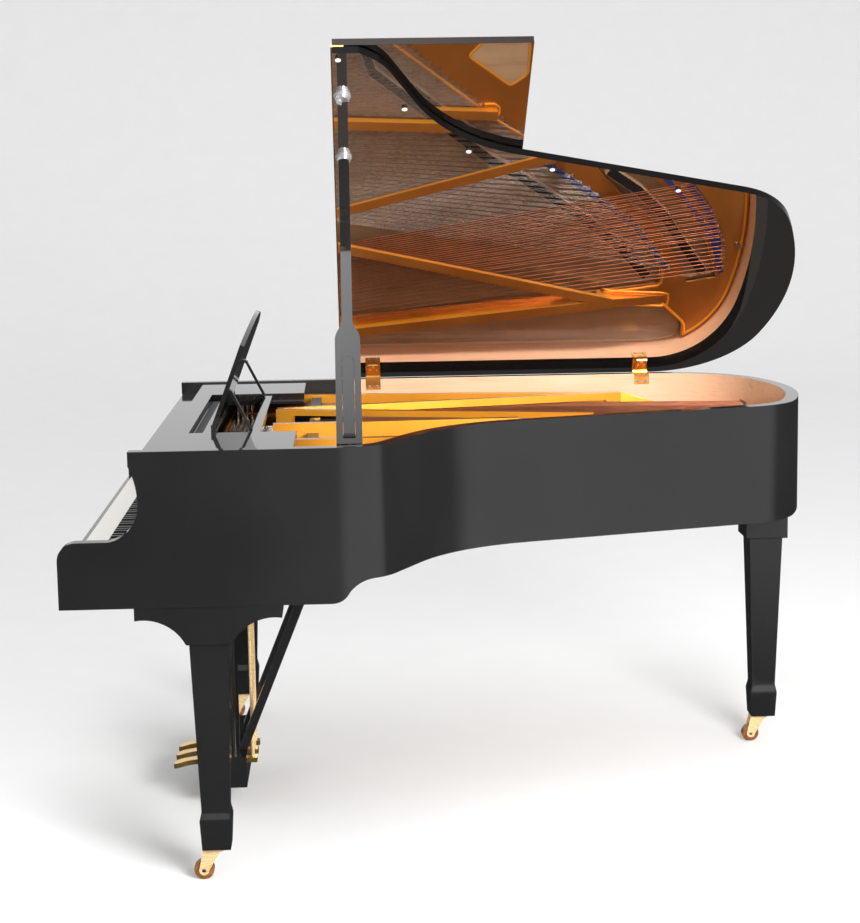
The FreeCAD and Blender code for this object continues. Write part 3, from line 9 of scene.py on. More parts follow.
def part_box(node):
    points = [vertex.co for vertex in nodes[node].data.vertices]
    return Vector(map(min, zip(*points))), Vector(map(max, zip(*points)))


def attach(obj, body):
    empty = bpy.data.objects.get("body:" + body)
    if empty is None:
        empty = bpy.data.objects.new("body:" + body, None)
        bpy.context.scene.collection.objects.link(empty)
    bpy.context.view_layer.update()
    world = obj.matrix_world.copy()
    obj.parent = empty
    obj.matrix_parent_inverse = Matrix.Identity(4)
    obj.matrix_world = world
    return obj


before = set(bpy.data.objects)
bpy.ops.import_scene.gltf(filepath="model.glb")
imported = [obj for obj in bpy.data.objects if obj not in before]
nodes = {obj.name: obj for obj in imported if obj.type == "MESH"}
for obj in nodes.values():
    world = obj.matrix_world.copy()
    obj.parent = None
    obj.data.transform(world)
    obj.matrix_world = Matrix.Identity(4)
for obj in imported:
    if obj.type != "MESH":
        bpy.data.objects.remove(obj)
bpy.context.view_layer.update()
print("frame loaded:", len(nodes), "nodes")

# case frame to row frame: places count from the case front, its middle line and the floor, in millimetres
shift = Vector((-0.9635, -0.02043407, 0))
perMetre = 1000


def place(x, y, z):
    return Vector((x, y, z)) / perMetre + shift


# camera

camera = {"at": (677.9, -5110.1, 1644.4), "yaw": 2.282, "pitch": 8.502, "roll": -0.912, "lens": 75.8,
          "sensor": 36, "clip": 60}


def makeCamera():
    yaw, pitch, roll = (math.radians(camera[k]) for k in ("yaw", "pitch", "roll"))
    side = Vector((math.cos(yaw), -math.sin(yaw), 0))
    ahead = Vector((math.sin(yaw), math.cos(yaw), 0))
    look = ahead * math.cos(pitch) - Vector((0, 0, 1)) * math.sin(pitch)
    head = Vector((0, 0, 1)) * math.cos(pitch) + ahead * math.sin(pitch)
    right = side * math.cos(roll) + head * math.sin(roll)
    up = head * math.cos(roll) - side * math.sin(roll)
    data = bpy.data.cameras.new("camera")
    data.lens = camera["lens"]
    data.sensor_width = camera["sensor"]
    data.clip_end = camera["clip"]
    data.dof.use_dof = False
    holder = bpy.data.objects.new("camera", data)
    bpy.context.scene.collection.objects.link(holder)
    turn = Matrix((right, up, -look)).transposed()
    holder.matrix_world = Matrix.Translation(place(*camera["at"])) @ turn.to_4x4()
    bpy.context.scene.camera = holder


makeCamera()
print("camera set")


# materials: noises are (scale, detail) or (scale, detail, roughness), bumps (strength, distance)

evenStops = (0.3, 0.7)


def newMaterial(label):
    material = bpy.data.materials.new(label)
    material.use_nodes = True
    tree = material.node_tree
    shader = next(n for n in tree.nodes if n.type == "BSDF_PRINCIPLED")
    return material, tree, shader


def addNode(tree, kind, **settings):
    node = tree.nodes.new(kind)
    for key, value in settings.items():
        if key in node.inputs:
            node.inputs[key].default_value = value
        else:
            setattr(node, key, value)
    return node


def objectCoords(tree, scale=(1, 1, 1), turn=(0, 0, 0)):
    coords = addNode(tree, "ShaderNodeTexCoord")
    mapping = addNode(tree, "ShaderNodeMapping")
    mapping.inputs["Scale"].default_value = scale
    mapping.inputs["Rotation"].default_value = turn
    tree.links.new(coords.outputs["Object"], mapping.inputs["Vector"])
    return mapping.outputs["Vector"]


def noise(tree, vector, scale, detail=3.0, rough=0.5):
    node = addNode(tree, "ShaderNodeTexNoise", Scale=scale, Detail=detail, Roughness=rough)
    tree.links.new(vector, node.inputs["Vector"])
    return node.outputs["Fac"]


# from one colour to another along a factor
def blend(tree, factor, first, second, stops=evenStops):
    node = addNode(tree, "ShaderNodeValToRGB")
    for element, position, colour in zip(node.color_ramp.elements, stops, (first, second)):
        element.position = position
        element.color = (*colour, 1)
    tree.links.new(factor, node.inputs["Fac"])
    return node.outputs["Color"]


def span(tree, factor, low, high):
    node = addNode(tree, "ShaderNodeMapRange")
    node.inputs["To Min"].default_value = low
    node.inputs["To Max"].default_value = high
    tree.links.new(factor, node.inputs["Value"])
    return node.outputs["Result"]


# one colour below a level along an axis, another above it
def switchAt(tree, axis, level, below, above):
    coords = addNode(tree, "ShaderNodeTexCoord")
    parts = addNode(tree, "ShaderNodeSeparateXYZ")
    tree.links.new(coords.outputs["Object"], parts.inputs[0])
    test = addNode(tree, "ShaderNodeMath", operation="GREATER_THAN")
    tree.links.new(parts.outputs[axis], test.inputs[0])
    test.inputs[1].default_value = level
    mix = addNode(tree, "ShaderNodeMix", data_type="RGBA")
    tree.links.new(test.outputs[0], mix.inputs["Factor"])
    for socket, colour in ((mix.inputs[6], below), (mix.inputs[7], above)):  # the node's colour sockets
        if isinstance(colour, tuple):
            socket.default_value = (*colour, 1)
        else:
            tree.links.new(colour, socket)
    return mix.outputs[2]


def bump(tree, shader, height, strength, distance):
    node = addNode(tree, "ShaderNodeBump", Strength=strength, Distance=distance)
    tree.links.new(height, node.inputs["Height"])
    tree.links.new(node.outputs["Normal"], shader.inputs["Normal"])


lacquer = {"cloud": (3.0, 4.0), "stops": (0.3, 0.75), "polish": (14.0, 5.0), "rough": (0.03, 0.07),
           "index": 1.5}
lacquers = {
    "lacquer": {"label": "blackLacquer", "colour": (0.0095, 0.0095, 0.0098), "haze": (0.0135, 0.013, 0.013),
                "shine": 0.5},
    # the flap's edge faces: a lower shine, and a lighter, warmer colour that is painted light
    "satin": {"label": "satinLacquerPaintedLight", "colour": (0.018, 0.0125, 0.0115), "haze": (0.023, 0.0155, 0.0145),
              "shine": 0.14},
    # the main lid's edge faces: a darker colour with almost no shine, painted shade in place of their
    # reflection
    "dullShadedEdge": {"label": "dullLacquerPaintedShade", "colour": (0.0045, 0.004, 0.004), "haze": (0.006, 0.0055, 0.0055),
             "shine": 0.04},
}


# black: a faint haze in the colour, polish marks in the roughness
def makeLacquer(label, colour, haze, shine):
    material, tree, shader = newMaterial(label)
    coords = objectCoords(tree)
    cloud = noise(tree, coords, *lacquer["cloud"])
    tree.links.new(blend(tree, cloud, colour, haze, lacquer["stops"]), shader.inputs["Base Color"])
    polish = noise(tree, coords, *lacquer["polish"])
    tree.links.new(span(tree, polish, *lacquer["rough"]), shader.inputs["Roughness"])
    shader.inputs["IOR"].default_value = lacquer["index"]
    shader.inputs["Specular IOR Level"].default_value = shine
    return material


mirror = {"colour": (0.86, 0.77, 0.71), "haze": (0.79, 0.71, 0.65), "cloud": (2.2, 4.0),
          "stops": (0.3, 0.75), "polish": (9.0, 5.0), "rough": (0.012, 0.03), "metal": 1.0}


# the lid's inner faces are polished so high that the photo shows the whole case in them
def makeMirror():
    material, tree, shader = newMaterial("mirrorLacquer")
    coords = objectCoords(tree)
    cloud = noise(tree, coords, *mirror["cloud"])
    colour = blend(tree, cloud, mirror["haze"], mirror["colour"], mirror["stops"])
    tree.links.new(colour, shader.inputs["Base Color"])
    polish = noise(tree, coords, *mirror["polish"])
    tree.links.new(span(tree, polish, *mirror["rough"]), shader.inputs["Roughness"])
    shader.inputs["Metallic"].default_value = mirror["metal"]
    return material


wood = {"grainScale": (1.2, 14, 40), "grain": (3.0, 6.0, 0.62), "grainShare": 0.7, "figureScale": (9, 9, 2),
        "figure": (2.2, 2.0), "figureShare": 0.3, "rough": (0.22, 0.36), "coat": 0.4, "coatRough": 0.08,
        "bump": (0.08, 0.0004)}
woods = {
    "veneer": {"label": "mapleVeneer", "turn": (0, 0, 0), "pale": (0.88, 0.545, 0.345),
               "deep": (0.80, 0.46, 0.27), "fromX": place(680, 0, 0).x},
    "maple": {"label": "mapleSolid", "turn": (0, 0, math.pi / 2), "pale": (0.62, 0.42, 0.24),
              "deep": (0.5, 0.32, 0.17)},
    # the spruce colour is darkened overall to stand in for the shade under the lid: painted shade
    "spruce": {"label": "spruceBoardShaded", "turn": (0, 0, 0.6), "pale": (0.28, 0.16, 0.085),
               "deep": (0.20, 0.105, 0.05)},
}


# long fine grain with a soft figure across it; in front of one X the veneer is lacquered over
def makeWood(label, turn, pale, deep, fromX=None):
    material, tree, shader = newMaterial(label)
    grain = noise(tree, objectCoords(tree, wood["grainScale"], turn), *wood["grain"])
    figure = noise(tree, objectCoords(tree, wood["figureScale"], turn), *wood["figure"])
    mixed = addNode(tree, "ShaderNodeMath", operation="MULTIPLY_ADD")
    tree.links.new(grain, mixed.inputs[0])
    mixed.inputs[1].default_value = wood["grainShare"]
    tree.links.new(span(tree, figure, 0.0, wood["figureShare"]), mixed.inputs[2])
    colour = blend(tree, mixed.outputs[0], deep, pale)
    if fromX is not None:
        colour = switchAt(tree, "X", fromX, lacquers["lacquer"]["colour"], colour)
    tree.links.new(colour, shader.inputs["Base Color"])
    tree.links.new(span(tree, grain, *wood["rough"]), shader.inputs["Roughness"])
    shader.inputs["Coat Weight"].default_value = wood["coat"]
    shader.inputs["Coat Roughness"].default_value = wood["coatRough"]
    bump(tree, shader, grain, *wood["bump"])
    return material


bronze = {"rough": (0.24, 0.38), "metal": 0.62, "drift": (5.0, 3.0), "grit": (620.0, 3.0), "coat": 0.35,
          "coatRough": 0.12, "bump": (0.16, 0.0005)}
bronzes = {
    "bronze": {"label": "bronzePaint", "colour": (1.0, 0.44, 0.035), "shade": (0.92, 0.37, 0.025)},
    # a darker copy of the bronze for the plate's upward faces: painted shade from the lid above
    "bronzeShadedTop": {"label": "bronzePaintShadedTop", "colour": (0.47, 0.172, 0.03), "shade": (0.37, 0.125, 0.02)},
}


# bronze-gold paint over sand-cast iron: fine pits and a slow colour drift; a darker copy on the flat tops
# is painted shade
def makeBronze(label, colour, shade):
    material, tree, shader = newMaterial(label)
    coords = objectCoords(tree)
    drift = noise(tree, coords, *bronze["drift"])
    tree.links.new(blend(tree, drift, shade, colour), shader.inputs["Base Color"])
    grit = noise(tree, coords, *bronze["grit"])
    tree.links.new(span(tree, grit, *bronze["rough"]), shader.inputs["Roughness"])
    shader.inputs["Metallic"].default_value = bronze["metal"]
    shader.inputs["Coat Weight"].default_value = bronze["coat"]
    shader.inputs["Coat Roughness"].default_value = bronze["coatRough"]
    bump(tree, shader, grit, *bronze["bump"])
    return material


metal = {"scratchScale": (4, 60, 60), "scratch": (12.0, 5.0), "patch": (22.0, 3.0), "bump": (0.008, 0.0001)}
metals = {
    "steel": {"label": "drawnSteel", "colour": (0.38, 0.355, 0.33), "shade": (0.30, 0.275, 0.25),
              "rough": (0.22, 0.34), "share": 1.0},
    "copper": {"label": "copperWinding", "colour": (0.30, 0.115, 0.065), "shade": (0.20, 0.075, 0.04),
               "rough": (0.32, 0.46), "share": 1.0},
    "brass": {"label": "polishedBrass", "colour": (0.90, 0.58, 0.19), "shade": (0.78, 0.46, 0.12),
              "rough": (0.08, 0.2), "share": 0.92},
    # rods and forks: a paler copy of the brass with a large diffuse share, standing in for their reflection
    # of the floor: painted reflection
    "paleBrass": {"label": "brushedBrassPaintedReflection", "colour": (0.93, 0.68, 0.36), "shade": (0.84, 0.57, 0.27),
                  "rough": (0.2, 0.36), "share": 0.4},
    "chrome": {"label": "chromePlate", "colour": (0.60, 0.60, 0.62), "shade": (0.48, 0.48, 0.50),
               "rough": (0.06, 0.14), "share": 0.66},
}


# polished or drawn metals: fine scratches along one direction and a mottled polish
def makeMetal(label, colour, shade, rough, share):
    material, tree, shader = newMaterial(label)
    lines = noise(tree, objectCoords(tree, metal["scratchScale"]), *metal["scratch"])
    patch = noise(tree, objectCoords(tree), *metal["patch"])
    tree.links.new(blend(tree, patch, shade, colour), shader.inputs["Base Color"])
    tree.links.new(span(tree, lines, *rough), shader.inputs["Roughness"])
    shader.inputs["Metallic"].default_value = share
    bump(tree, shader, lines, *metal["bump"])
    return material


felt = {"fibre": (900.0, 4.0, 0.7), "rough": 0.95, "sheen": 0.5, "bump": (0.5, 0.0008)}
felts = {
    "blueFelt": {"label": "blueFelt", "colour": (0.018, 0.03, 0.22), "shade": (0.008, 0.014, 0.12)},
    "darkFelt": {"label": "darkFelt", "colour": (0.03, 0.03, 0.034), "shade": (0.012, 0.012, 0.014)},
}


# pressed wool: short matted fibres
def makeFelt(label, colour, shade):
    material, tree, shader = newMaterial(label)
    fibre = noise(tree, objectCoords(tree), *felt["fibre"])
    tree.links.new(blend(tree, fibre, shade, colour), shader.inputs["Base Color"])
    shader.inputs["Roughness"].default_value = felt["rough"]
    shader.inputs["Sheen Weight"].default_value = felt["sheen"]
    bump(tree, shader, fibre, *felt["bump"])
    return material


keyTop = {"thickness": 2.4, "top": 776, "colour": (0.86, 0.84, 0.78), "cloud": (60.0, 4.0),
          "rough": (0.12, 0.24), "wood": (0.55, 0.36, 0.19), "paleWood": (0.66, 0.46, 0.26),
          "grainScale": (2, 40, 40), "grain": (6.0, 4.0), "bump": (0.04, 0.0003)}


# a natural key: a white cover on a wooden stick
def makeIvory():
    material, tree, shader = newMaterial("whiteKeys")
    cloud = noise(tree, objectCoords(tree), *keyTop["cloud"])
    grain = noise(tree, objectCoords(tree, keyTop["grainScale"]), *keyTop["grain"])
    stick = blend(tree, grain, keyTop["wood"], keyTop["paleWood"])
    low = place(0, 0, keyTop["top"] - keyTop["thickness"]).z
    tree.links.new(switchAt(tree, "Z", low, stick, keyTop["colour"]), shader.inputs["Base Color"])
    tree.links.new(span(tree, cloud, *keyTop["rough"]), shader.inputs["Roughness"])
    bump(tree, shader, cloud, *keyTop["bump"])
    return material


plain = {"detail": 4.0, "bump": (0.04, 0.0003)}
plains = {
    "graphite": {"label": "graphiteCap", "colour": (0.016, 0.015, 0.015), "shade": (0.008, 0.008, 0.008),
                 "rough": (0.45, 0.6), "scale": 240.0, "shine": 0.1},
    "tread": {"label": "casterTread", "colour": (0.24, 0.095, 0.03), "shade": (0.14, 0.05, 0.016),
              "rough": (0.2, 0.34), "scale": 90.0, "shine": 0.5},
    "ebony": {"label": "ebonyKeys", "colour": (0.012, 0.012, 0.012), "shade": (0.007, 0.007, 0.007),
              "rough": (0.3, 0.42), "scale": 60.0, "shine": 0.5},
    "button": {"label": "lidButtonRubber", "colour": (0.8, 0.8, 0.78), "shade": (0.7, 0.7, 0.68),
               "rough": (0.5, 0.62), "scale": 60.0, "shine": 0.5},
}


# bridge tops, black keys, wheels and rubber: a faint cloud in colour and roughness
def makePlain(label, colour, shade, rough, scale, shine):
    material, tree, shader = newMaterial(label)
    cloud = noise(tree, objectCoords(tree), scale, plain["detail"])
    tree.links.new(blend(tree, cloud, shade, colour), shader.inputs["Base Color"])
    tree.links.new(span(tree, cloud, *rough), shader.inputs["Roughness"])
    shader.inputs["Specular IOR Level"].default_value = shine
    bump(tree, shader, cloud, *plain["bump"])
    return material


finish = {"mirror": makeMirror(), "ivory": makeIvory()}
kinds = ((makeLacquer, lacquers), (makeWood, woods), (makeBronze, bronzes), (makeMetal, metals),
         (makeFelt, felts), (makePlain, plains))
for make, looks in kinds:
    for name, look in looks.items():
        finish[name] = make(**look)
print("materials made:", len(finish))


# the finish that each carried-over node wears

wear = {
    "lacquer": "outer_rim keybed key_slip key_blocks leg_blocks leg_treble leg_bass leg_tail lyre_frame "
               "lyre_box lyre_braces lid_main lid_flap prop_stick short_prop music_shelf desk_tray "
               "music_desk desk_struts fallboard",
    "maple": "inner_rim belly_rail back_braces pin_block string_bridges key_frame natural_hammers "
             "sharp_hammers",
    "spruce": "soundboard soundboard_ribs",
    "bronze": "iron_plate",
    "steel": "plain_strings tuning_pins hitch_pins plate_bolts",
    "copper": "wound_strings",
    "brass": "agraffes lid_hinge_case lid_hinge_lid flap_hinge_main flap_hinge_flap prop_bracket "
             "pedal_soft pedal_sostenuto pedal_sustain",
    "paleBrass": "pedal_rod_soft pedal_rod_sostenuto pedal_rod_sustain caster_fork_treble caster_fork_bass "
                 "caster_fork_tail",
    "tread": "caster_wheel_treble caster_wheel_bass caster_wheel_tail",
    "chrome": "prop_cups",
    "blueFelt": "string_felts",
    "ivory": "natural_keys",
    "ebony": "sharp_keys dampers",
    "button": "lid_buttons",
}


def paint(piece, name):
    piece.data.materials.clear()
    piece.data.materials.append(finish[name])


for name, worn in wear.items():
    for node in worn.split():
        paint(nodes[node], name)


lidAngle = math.radians(36.1)
lidDown = Vector((0, -math.sin(lidAngle), -math.cos(lidAngle)))
caseMiddle = place(900, 150, 0)
normalLimit = {"down": 0.95, "out": 0.3, "up": 0.9, "upright": 0.1}  # limits for a face's normal


# a second finish on the faces that a test picks
def paintFaces(node, name, picks):
    piece = nodes[node]
    piece.data.materials.append(finish[name])
    for polygon in piece.data.polygons:
        if picks(polygon):
            polygon.material_index = len(piece.data.materials) - 1


def facesDown(polygon):
    return polygon.normal.dot(lidDown) > normalLimit["down"]


def facesOut(polygon):
    return abs(polygon.normal.dot(lidDown)) < normalLimit["out"]


def facesSide(polygon):
    return not facesDown(polygon)


def facesUp(polygon):
    return polygon.normal.z > normalLimit["up"]


def facesInside(polygon):
    outward = polygon.center - caseMiddle
    return abs(polygon.normal.z) < normalLimit["upright"] and polygon.normal.xy.dot(outward.xy) < 0


secondFinish = (
    # the main lid's edge faces take the darker lacquer copy: painted shade
    ("lid_main", "mirror", facesDown), ("lid_flap", "mirror", facesDown), ("lid_main", "dullShadedEdge", facesOut),
    # the flap's edge faces take the lighter lacquer copy: painted light
    ("lid_flap", "satin", facesOut), ("lid_buttons", "graphite", facesSide),
    ("outer_rim", "veneer", facesInside), ("string_bridges", "graphite", facesUp),
    # the plate's upward faces take the darker bronze copy: painted shade
    ("iron_plate", "bronzeShadedTop", facesUp),
)
for node, name, picks in secondFinish:
    paintFaces(node, name, picks)


# soft edges on the carried-over solids: weld the split corners, round the sharp ones, keep flat faces flat

edges = {"lacquer": 0.0016, "brass": 0.0006, "paleBrass": 0.0006, "tread": 0.003, "maple": 0.0012,
         "bronze": 0.0036, "chrome": 0.0008, "ivory": 0.0008, "ebony": 0.0008}
soft = {"weld": 0.00002, "segments": 3, "angle": 35}


def softenEdges(piece, width):
    for polygon in piece.data.polygons:
        polygon.use_smooth = True
    weld = piece.modifiers.new("weld", "WELD")
    weld.merge_threshold = soft["weld"]
    rounding = piece.modifiers.new("rounding", "BEVEL")
    rounding.width = width
    rounding.segments = soft["segments"]
    rounding.limit_method = "ANGLE"
    rounding.angle_limit = math.radians(soft["angle"])
    rounding.use_clamp_overlap = True
    rounding.harden_normals = True
    rounding.material = 0  # the node's first finish
    weighted = piece.modifiers.new("weighted", "WEIGHTED_NORMAL")
    weighted.keep_sharp = True


for name, width in edges.items():
    for node in wear[name].split():
        softenEdges(nodes[node], width)
print("finishes and soft edges on the carried-over solids")


# new pieces

weldDistance = 0.00001  # corners nearer than this are one
upward = Vector((0, 0, 1))
square = ((-1, -1), (1, -1), (1, 1), (-1, 1))


def newPiece(name, made, look, body):
    mesh = bpy.data.meshes.new(name)
    bmesh.ops.recalc_face_normals(made, faces=made.faces)
    made.to_mesh(mesh)
    made.free()
    piece = bpy.data.objects.new(name, mesh)
    bpy.context.scene.collection.objects.link(piece)
    mesh.materials.append(finish[look])
    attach(piece, body)
    return piece


# faces between rings of as many corners each, and over the first and last ring
def skin(made, rings):
    count = len(rings[0])
    for low, high in zip(rings, rings[1:]):
        for step in range(count):
            after = (step + 1) % count
            made.faces.new((low[step], low[after], high[after], high[step]))
    made.faces.new(rings[0][::-1])
    made.faces.new(rings[-1])


# a turned form: rings of (radius, height) along an axis
def turned(made, profile, at, axis, steps):
    lean = axis.to_track_quat("Z", "Y")
    rings = []
    for radius, height in profile:
        ring = []
        for step in range(steps):
            angle = 2 * math.pi * step / steps
            spot = Vector((radius * math.cos(angle), radius * math.sin(angle), height))
            ring.append(made.verts.new(at + lean @ spot))
        rings.append(ring)
    skin(made, rings)


# a box along a direction in the plan, with its upper edges taken off
def chamfered(made, centre, along, length, width, low, high, edge):
    across = Vector((-along.y, along.x, 0))
    rings = []
    for height, inset in ((low, 0), (high - edge, 0), (high, edge)):
        ring = []
        for a, b in square:
            spot = centre + along * a * (length / 2 - inset) + across * b * (width / 2 - inset)
            ring.append(made.verts.new((spot.x, spot.y, height)))
        rings.append(ring)
    skin(made, rings)


# the separate solids of a carried-over node, each as a list of its corners
def solidsOf(node):
    made = bmesh.new()
    made.from_mesh(nodes[node].data)
    bmesh.ops.remove_doubles(made, verts=made.verts, dist=weldDistance)
    seen, solids = set(), []
    for vert in made.verts:
        if vert in seen:
            continue
        stack, found = [vert], []
        seen.add(vert)
        while stack:
            here = stack.pop()
            found.append(here.co.copy())
            for edge in here.link_edges:
                other = edge.other_vert(here)
                if other not in seen:
                    seen.add(other)
                    stack.append(other)
        solids.append(found)
    made.free()
    return solids


def middle(points):
    return sum(points, Vector()) / len(points)


# a string's two ends, front first
def stringEnds(corners):
    front, rear = min(c.x for c in corners), max(c.x for c in corners)
    half = (front + rear) / 2
    return middle([c for c in corners if c.x < half]), middle([c for c in corners if c.x > half])


# bridge caps: a black notched step under each note, with two pins at every string

notches = {"length": 0.027, "depth": 0.010, "rise": 0.0003, "edge": 0.0008, "fill": 0.86, "stride": 0.002,
           "reach": 0.004}
noteStrings = {"plain_strings": {"group": 3, "apart": 0.0115},
               "wound_strings": {"group": 1, "apart": 0.0085}}
bridgePins = {"radius": 0.0007, "rise": 0.0026, "inset": 0.004, "offset": 0.0016, "sides": 6}


# where a string crosses its bridge: entry and exit points
def crossing(tree, front, rear):
    along = (rear - front).normalized()
    hits = []
    for step in range(int((rear - front).length / notches["stride"])):
        spot = front + along * notches["stride"] * step
        found = tree.ray_cast(spot, -upward, notches["reach"])
        if found[0] is not None:
            hits.append(Vector((spot.x, spot.y, found[0].z)))
    return (hits[0], hits[-1]) if hits else None


def makeBridgeCaps():
    bridges = nodes["string_bridges"].data
    tree = BVHTree.FromPolygons([v.co for v in bridges.vertices], [p.vertices for p in bridges.polygons])
    caps, pins = bmesh.new(), bmesh.new()
    pinProfile = ((bridgePins["radius"], 0), (bridgePins["radius"], bridgePins["rise"]))
    for node, note in noteStrings.items():
        spans = [crossing(tree, *stringEnds(corners)) for corners in solidsOf(node)]
        spans = sorted((s for s in spans if s), key=lambda s: s[0].y)
        for count, (start, end) in enumerate(spans):
            along = (end - start).normalized()
            across = Vector((-along.y, along.x, 0))
            top = start.z + notches["rise"]
            for spot in (start + along * bridgePins["inset"], end - along * bridgePins["inset"]):
                foot = spot + across * bridgePins["offset"]
                foot.z = top
                turned(pins, pinProfile, foot, upward, bridgePins["sides"])
            if count % note["group"] == note["group"] // 2:
                width = note["apart"] * notches["fill"]
                chamfered(caps, (start + end) / 2, along, notches["length"], width,
                          top - notches["depth"], top, notches["edge"])
    newPiece("bridgeCaps", caps, "graphite", "case")
    newPiece("bridgePins", pins, "copper", "case")


makeBridgeCaps()


# wire coils round the tuning pins

coil = {"wire": 0.0008, "turns": 3, "drop": 0.0125, "steps": 10}


def makeCoils():
    made = bmesh.new()
    rise = coil["wire"]
    for corners in solidsOf("tuning_pins"):
        centre, top = middle(corners), max(c.z for c in corners)
        radius = max((c.xy - centre.xy).length for c in corners)
        profile = ((radius, -rise), (radius + rise, 0), (radius, rise))
        for turnNumber in range(coil["turns"]):
            height = top - coil["drop"] - turnNumber * coil["wire"] * 2
            turned(made, profile, Vector((centre.x, centre.y, height)), upward, coil["steps"])
    newPiece("pinCoils", made, "steel", "case")


makeCoils()


# round-headed screws with a slot, for the hinge leaves and the caster axles; shares of radius and rise

screw = {"radius": 0.0038, "rise": 0.0009, "slot": 0.0007, "steps": 20, "slotLength": 0.86,
         "slotHeights": (0.8, 1.06), "profile": ((1, 0), (0.92, 0.55), (0.7, 0.9), (0.12, 1))}


def addScrew(made, at, facing, size=1.0):
    radius, rise, slot = (screw[k] * size for k in ("radius", "rise", "slot"))
    turned(made, [(radius * r, rise * h) for r, h in screw["profile"]], at, facing, screw["steps"])
    lean = facing.to_track_quat("Z", "Y")
    reach = radius * screw["slotLength"]
    skin(made, [[made.verts.new(at + lean @ Vector((a * reach, b * slot, rise * share))) for a, b in square]
                for share in screw["slotHeights"]])


# case leaves have two screws, lid leaves three: (distance from the leaf's end, side)
hingeScrews = {"caseSide": 0.012, "caseUp": 0.009, "lidSide": 0.009,
               "lidRows": ((0.010, 0), (0.026, -1), (0.026, 1)), "knuckle": 0.02, "endShare": 0.01}


def middleX(corners):
    return (min(c.x for c in corners) + max(c.x for c in corners)) / 2


def makeHingeScrews():
    caseScrews, lidScrews = bmesh.new(), bmesh.new()
    for corners in solidsOf("lid_hinge_case"):
        height = min(c.z for c in corners) + hingeScrews["caseUp"]
        inside = min(c.y for c in corners)
        for side in (-1, 1):
            x = middleX(corners) + side * hingeScrews["caseSide"]
            addScrew(caseScrews, Vector((x, inside, height)), Vector((0, -1, 0)))
    up = Vector((0, lidDown.z, -lidDown.y))  # along the lid, away from the hinge
    for corners in solidsOf("lid_hinge_lid"):
        under = max(corners, key=lambda c: c.dot(lidDown) + c.dot(up) * hingeScrews["endShare"])
        face = max(c.dot(lidDown) for c in corners if c.y < under.y - hingeScrews["knuckle"])
        far = max(c.dot(up) for c in corners)
        for back, side in hingeScrews["lidRows"]:
            spot = lidDown * face + up * (far - back)
            spot.x = middleX(corners) + side * hingeScrews["lidSide"]
            addScrew(lidScrews, spot, lidDown)
    newPiece("hingeScrewsCase", caseScrews, "chrome", "case")
    newPiece("hingeScrewsLid", lidScrews, "brass", "lid")


makeHingeScrews()


# casters: a steel axle head on each fork cheek

axleHead = {"size": 1.3}


def makeAxleHeads(leg):
    low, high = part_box("caster_wheel_" + leg)
    axle = (Vector(low) + Vector(high)) / 2
    forkLow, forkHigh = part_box("caster_fork_" + leg)
    heads = bmesh.new()
    for side, face in ((-1, forkLow[1]), (1, forkHigh[1])):
        addScrew(heads, Vector((axle.x, face, axle.z)), Vector((0, side, 0)), axleHead["size"])
    newPiece("axleHeads" + leg.title(), heads, "steel", "fork_" + leg)


for leg in ("treble", "bass", "tail"):
    makeAxleHeads(leg)


# felt laid on the shelf's ledge, in front of the desk

ledge = {"x": (281.5, 333), "y": 410, "z": 1004, "pile": 0.4, "edge": 1, "steps": 60}


def makeShelfFelt():
    made = bmesh.new()
    x0, x1 = ledge["x"]
    pile, edge = ledge["pile"], ledge["edge"]
    rows = []
    for x, rise in ((x0, 0), (x0 + edge, pile), (x1 - edge, pile), (x1, 0)):
        row = []
        for step in range(ledge["steps"] + 1):
            y = -ledge["y"] + 2 * ledge["y"] * step / ledge["steps"]
            row.append(made.verts.new(place(x, y, ledge["z"] + rise)))
        rows.append(row)
    for one, other in zip(rows, rows[1:]):
        for step in range(ledge["steps"]):
            made.faces.new((one[step], one[step + 1], other[step + 1], other[step]))
    newPiece("shelfFelt", made, "darkFelt", "case")


makeShelfFelt()
print("bridge caps, pin coils, screws, axle heads and shelf felt added")


# one more blue felt on the plate, behind the bass bridge

plateFelt = {"top": 940, "pile": 4, "width": 17, "edge": 1.5, "steps": 8,
             "run": ((1618, 176), (1708, 280), (1768, 370), (1804, 480))}
plateLevel = place(0, 0, plateFelt["top"]).z


# a smooth curve through the points: each stretch is a cubic from its two points and their neighbours
def curve(points, steps):
    ends = [points[0] * 2 - points[1], *points, points[-1] * 2 - points[-2]]
    made = []
    for a, b, c, d in zip(ends, ends[1:], ends[2:], ends[3:]):
        for step in range(steps):
            t = step / steps
            made.append((b * 2 + (c - a) * t + (a * 2 - b * 5 + c * 4 - d) * t * t
                         + (b * 3 - a - c * 3 + d) * t * t * t) / 2)
    return made + [points[-1]]


def makePlateFelt():
    made = bmesh.new()
    half, edge = plateFelt["width"] / 2, plateFelt["edge"]
    low, high = plateFelt["top"], plateFelt["top"] + plateFelt["pile"]
    profile = ((-half, low), (-half, high - edge), (edge - half, high), (half - edge, high),
               (half, high - edge), (half, low))
    spots = curve([Vector(spot) for spot in plateFelt["run"]], plateFelt["steps"])
    rings = []
    for index, spot in enumerate(spots):
        run = spots[min(index + 1, len(spots) - 1)] - spots[max(index - 1, 0)]
        across = Vector((-run.y, run.x)).normalized()
        rings.append([made.verts.new(place(*(spot + across * side), z)) for side, z in profile])
    skin(made, rings)
    newPiece("plateFelt", made, "blueFelt", "case")


makePlateFelt()


# cast beads on the plate, round its flat top and round its window

bead = {"inset": 0.008, "half": 0.0042, "rise": 0.0034, "pitch": 0.012, "arc": 6, "flat": 0.0005}


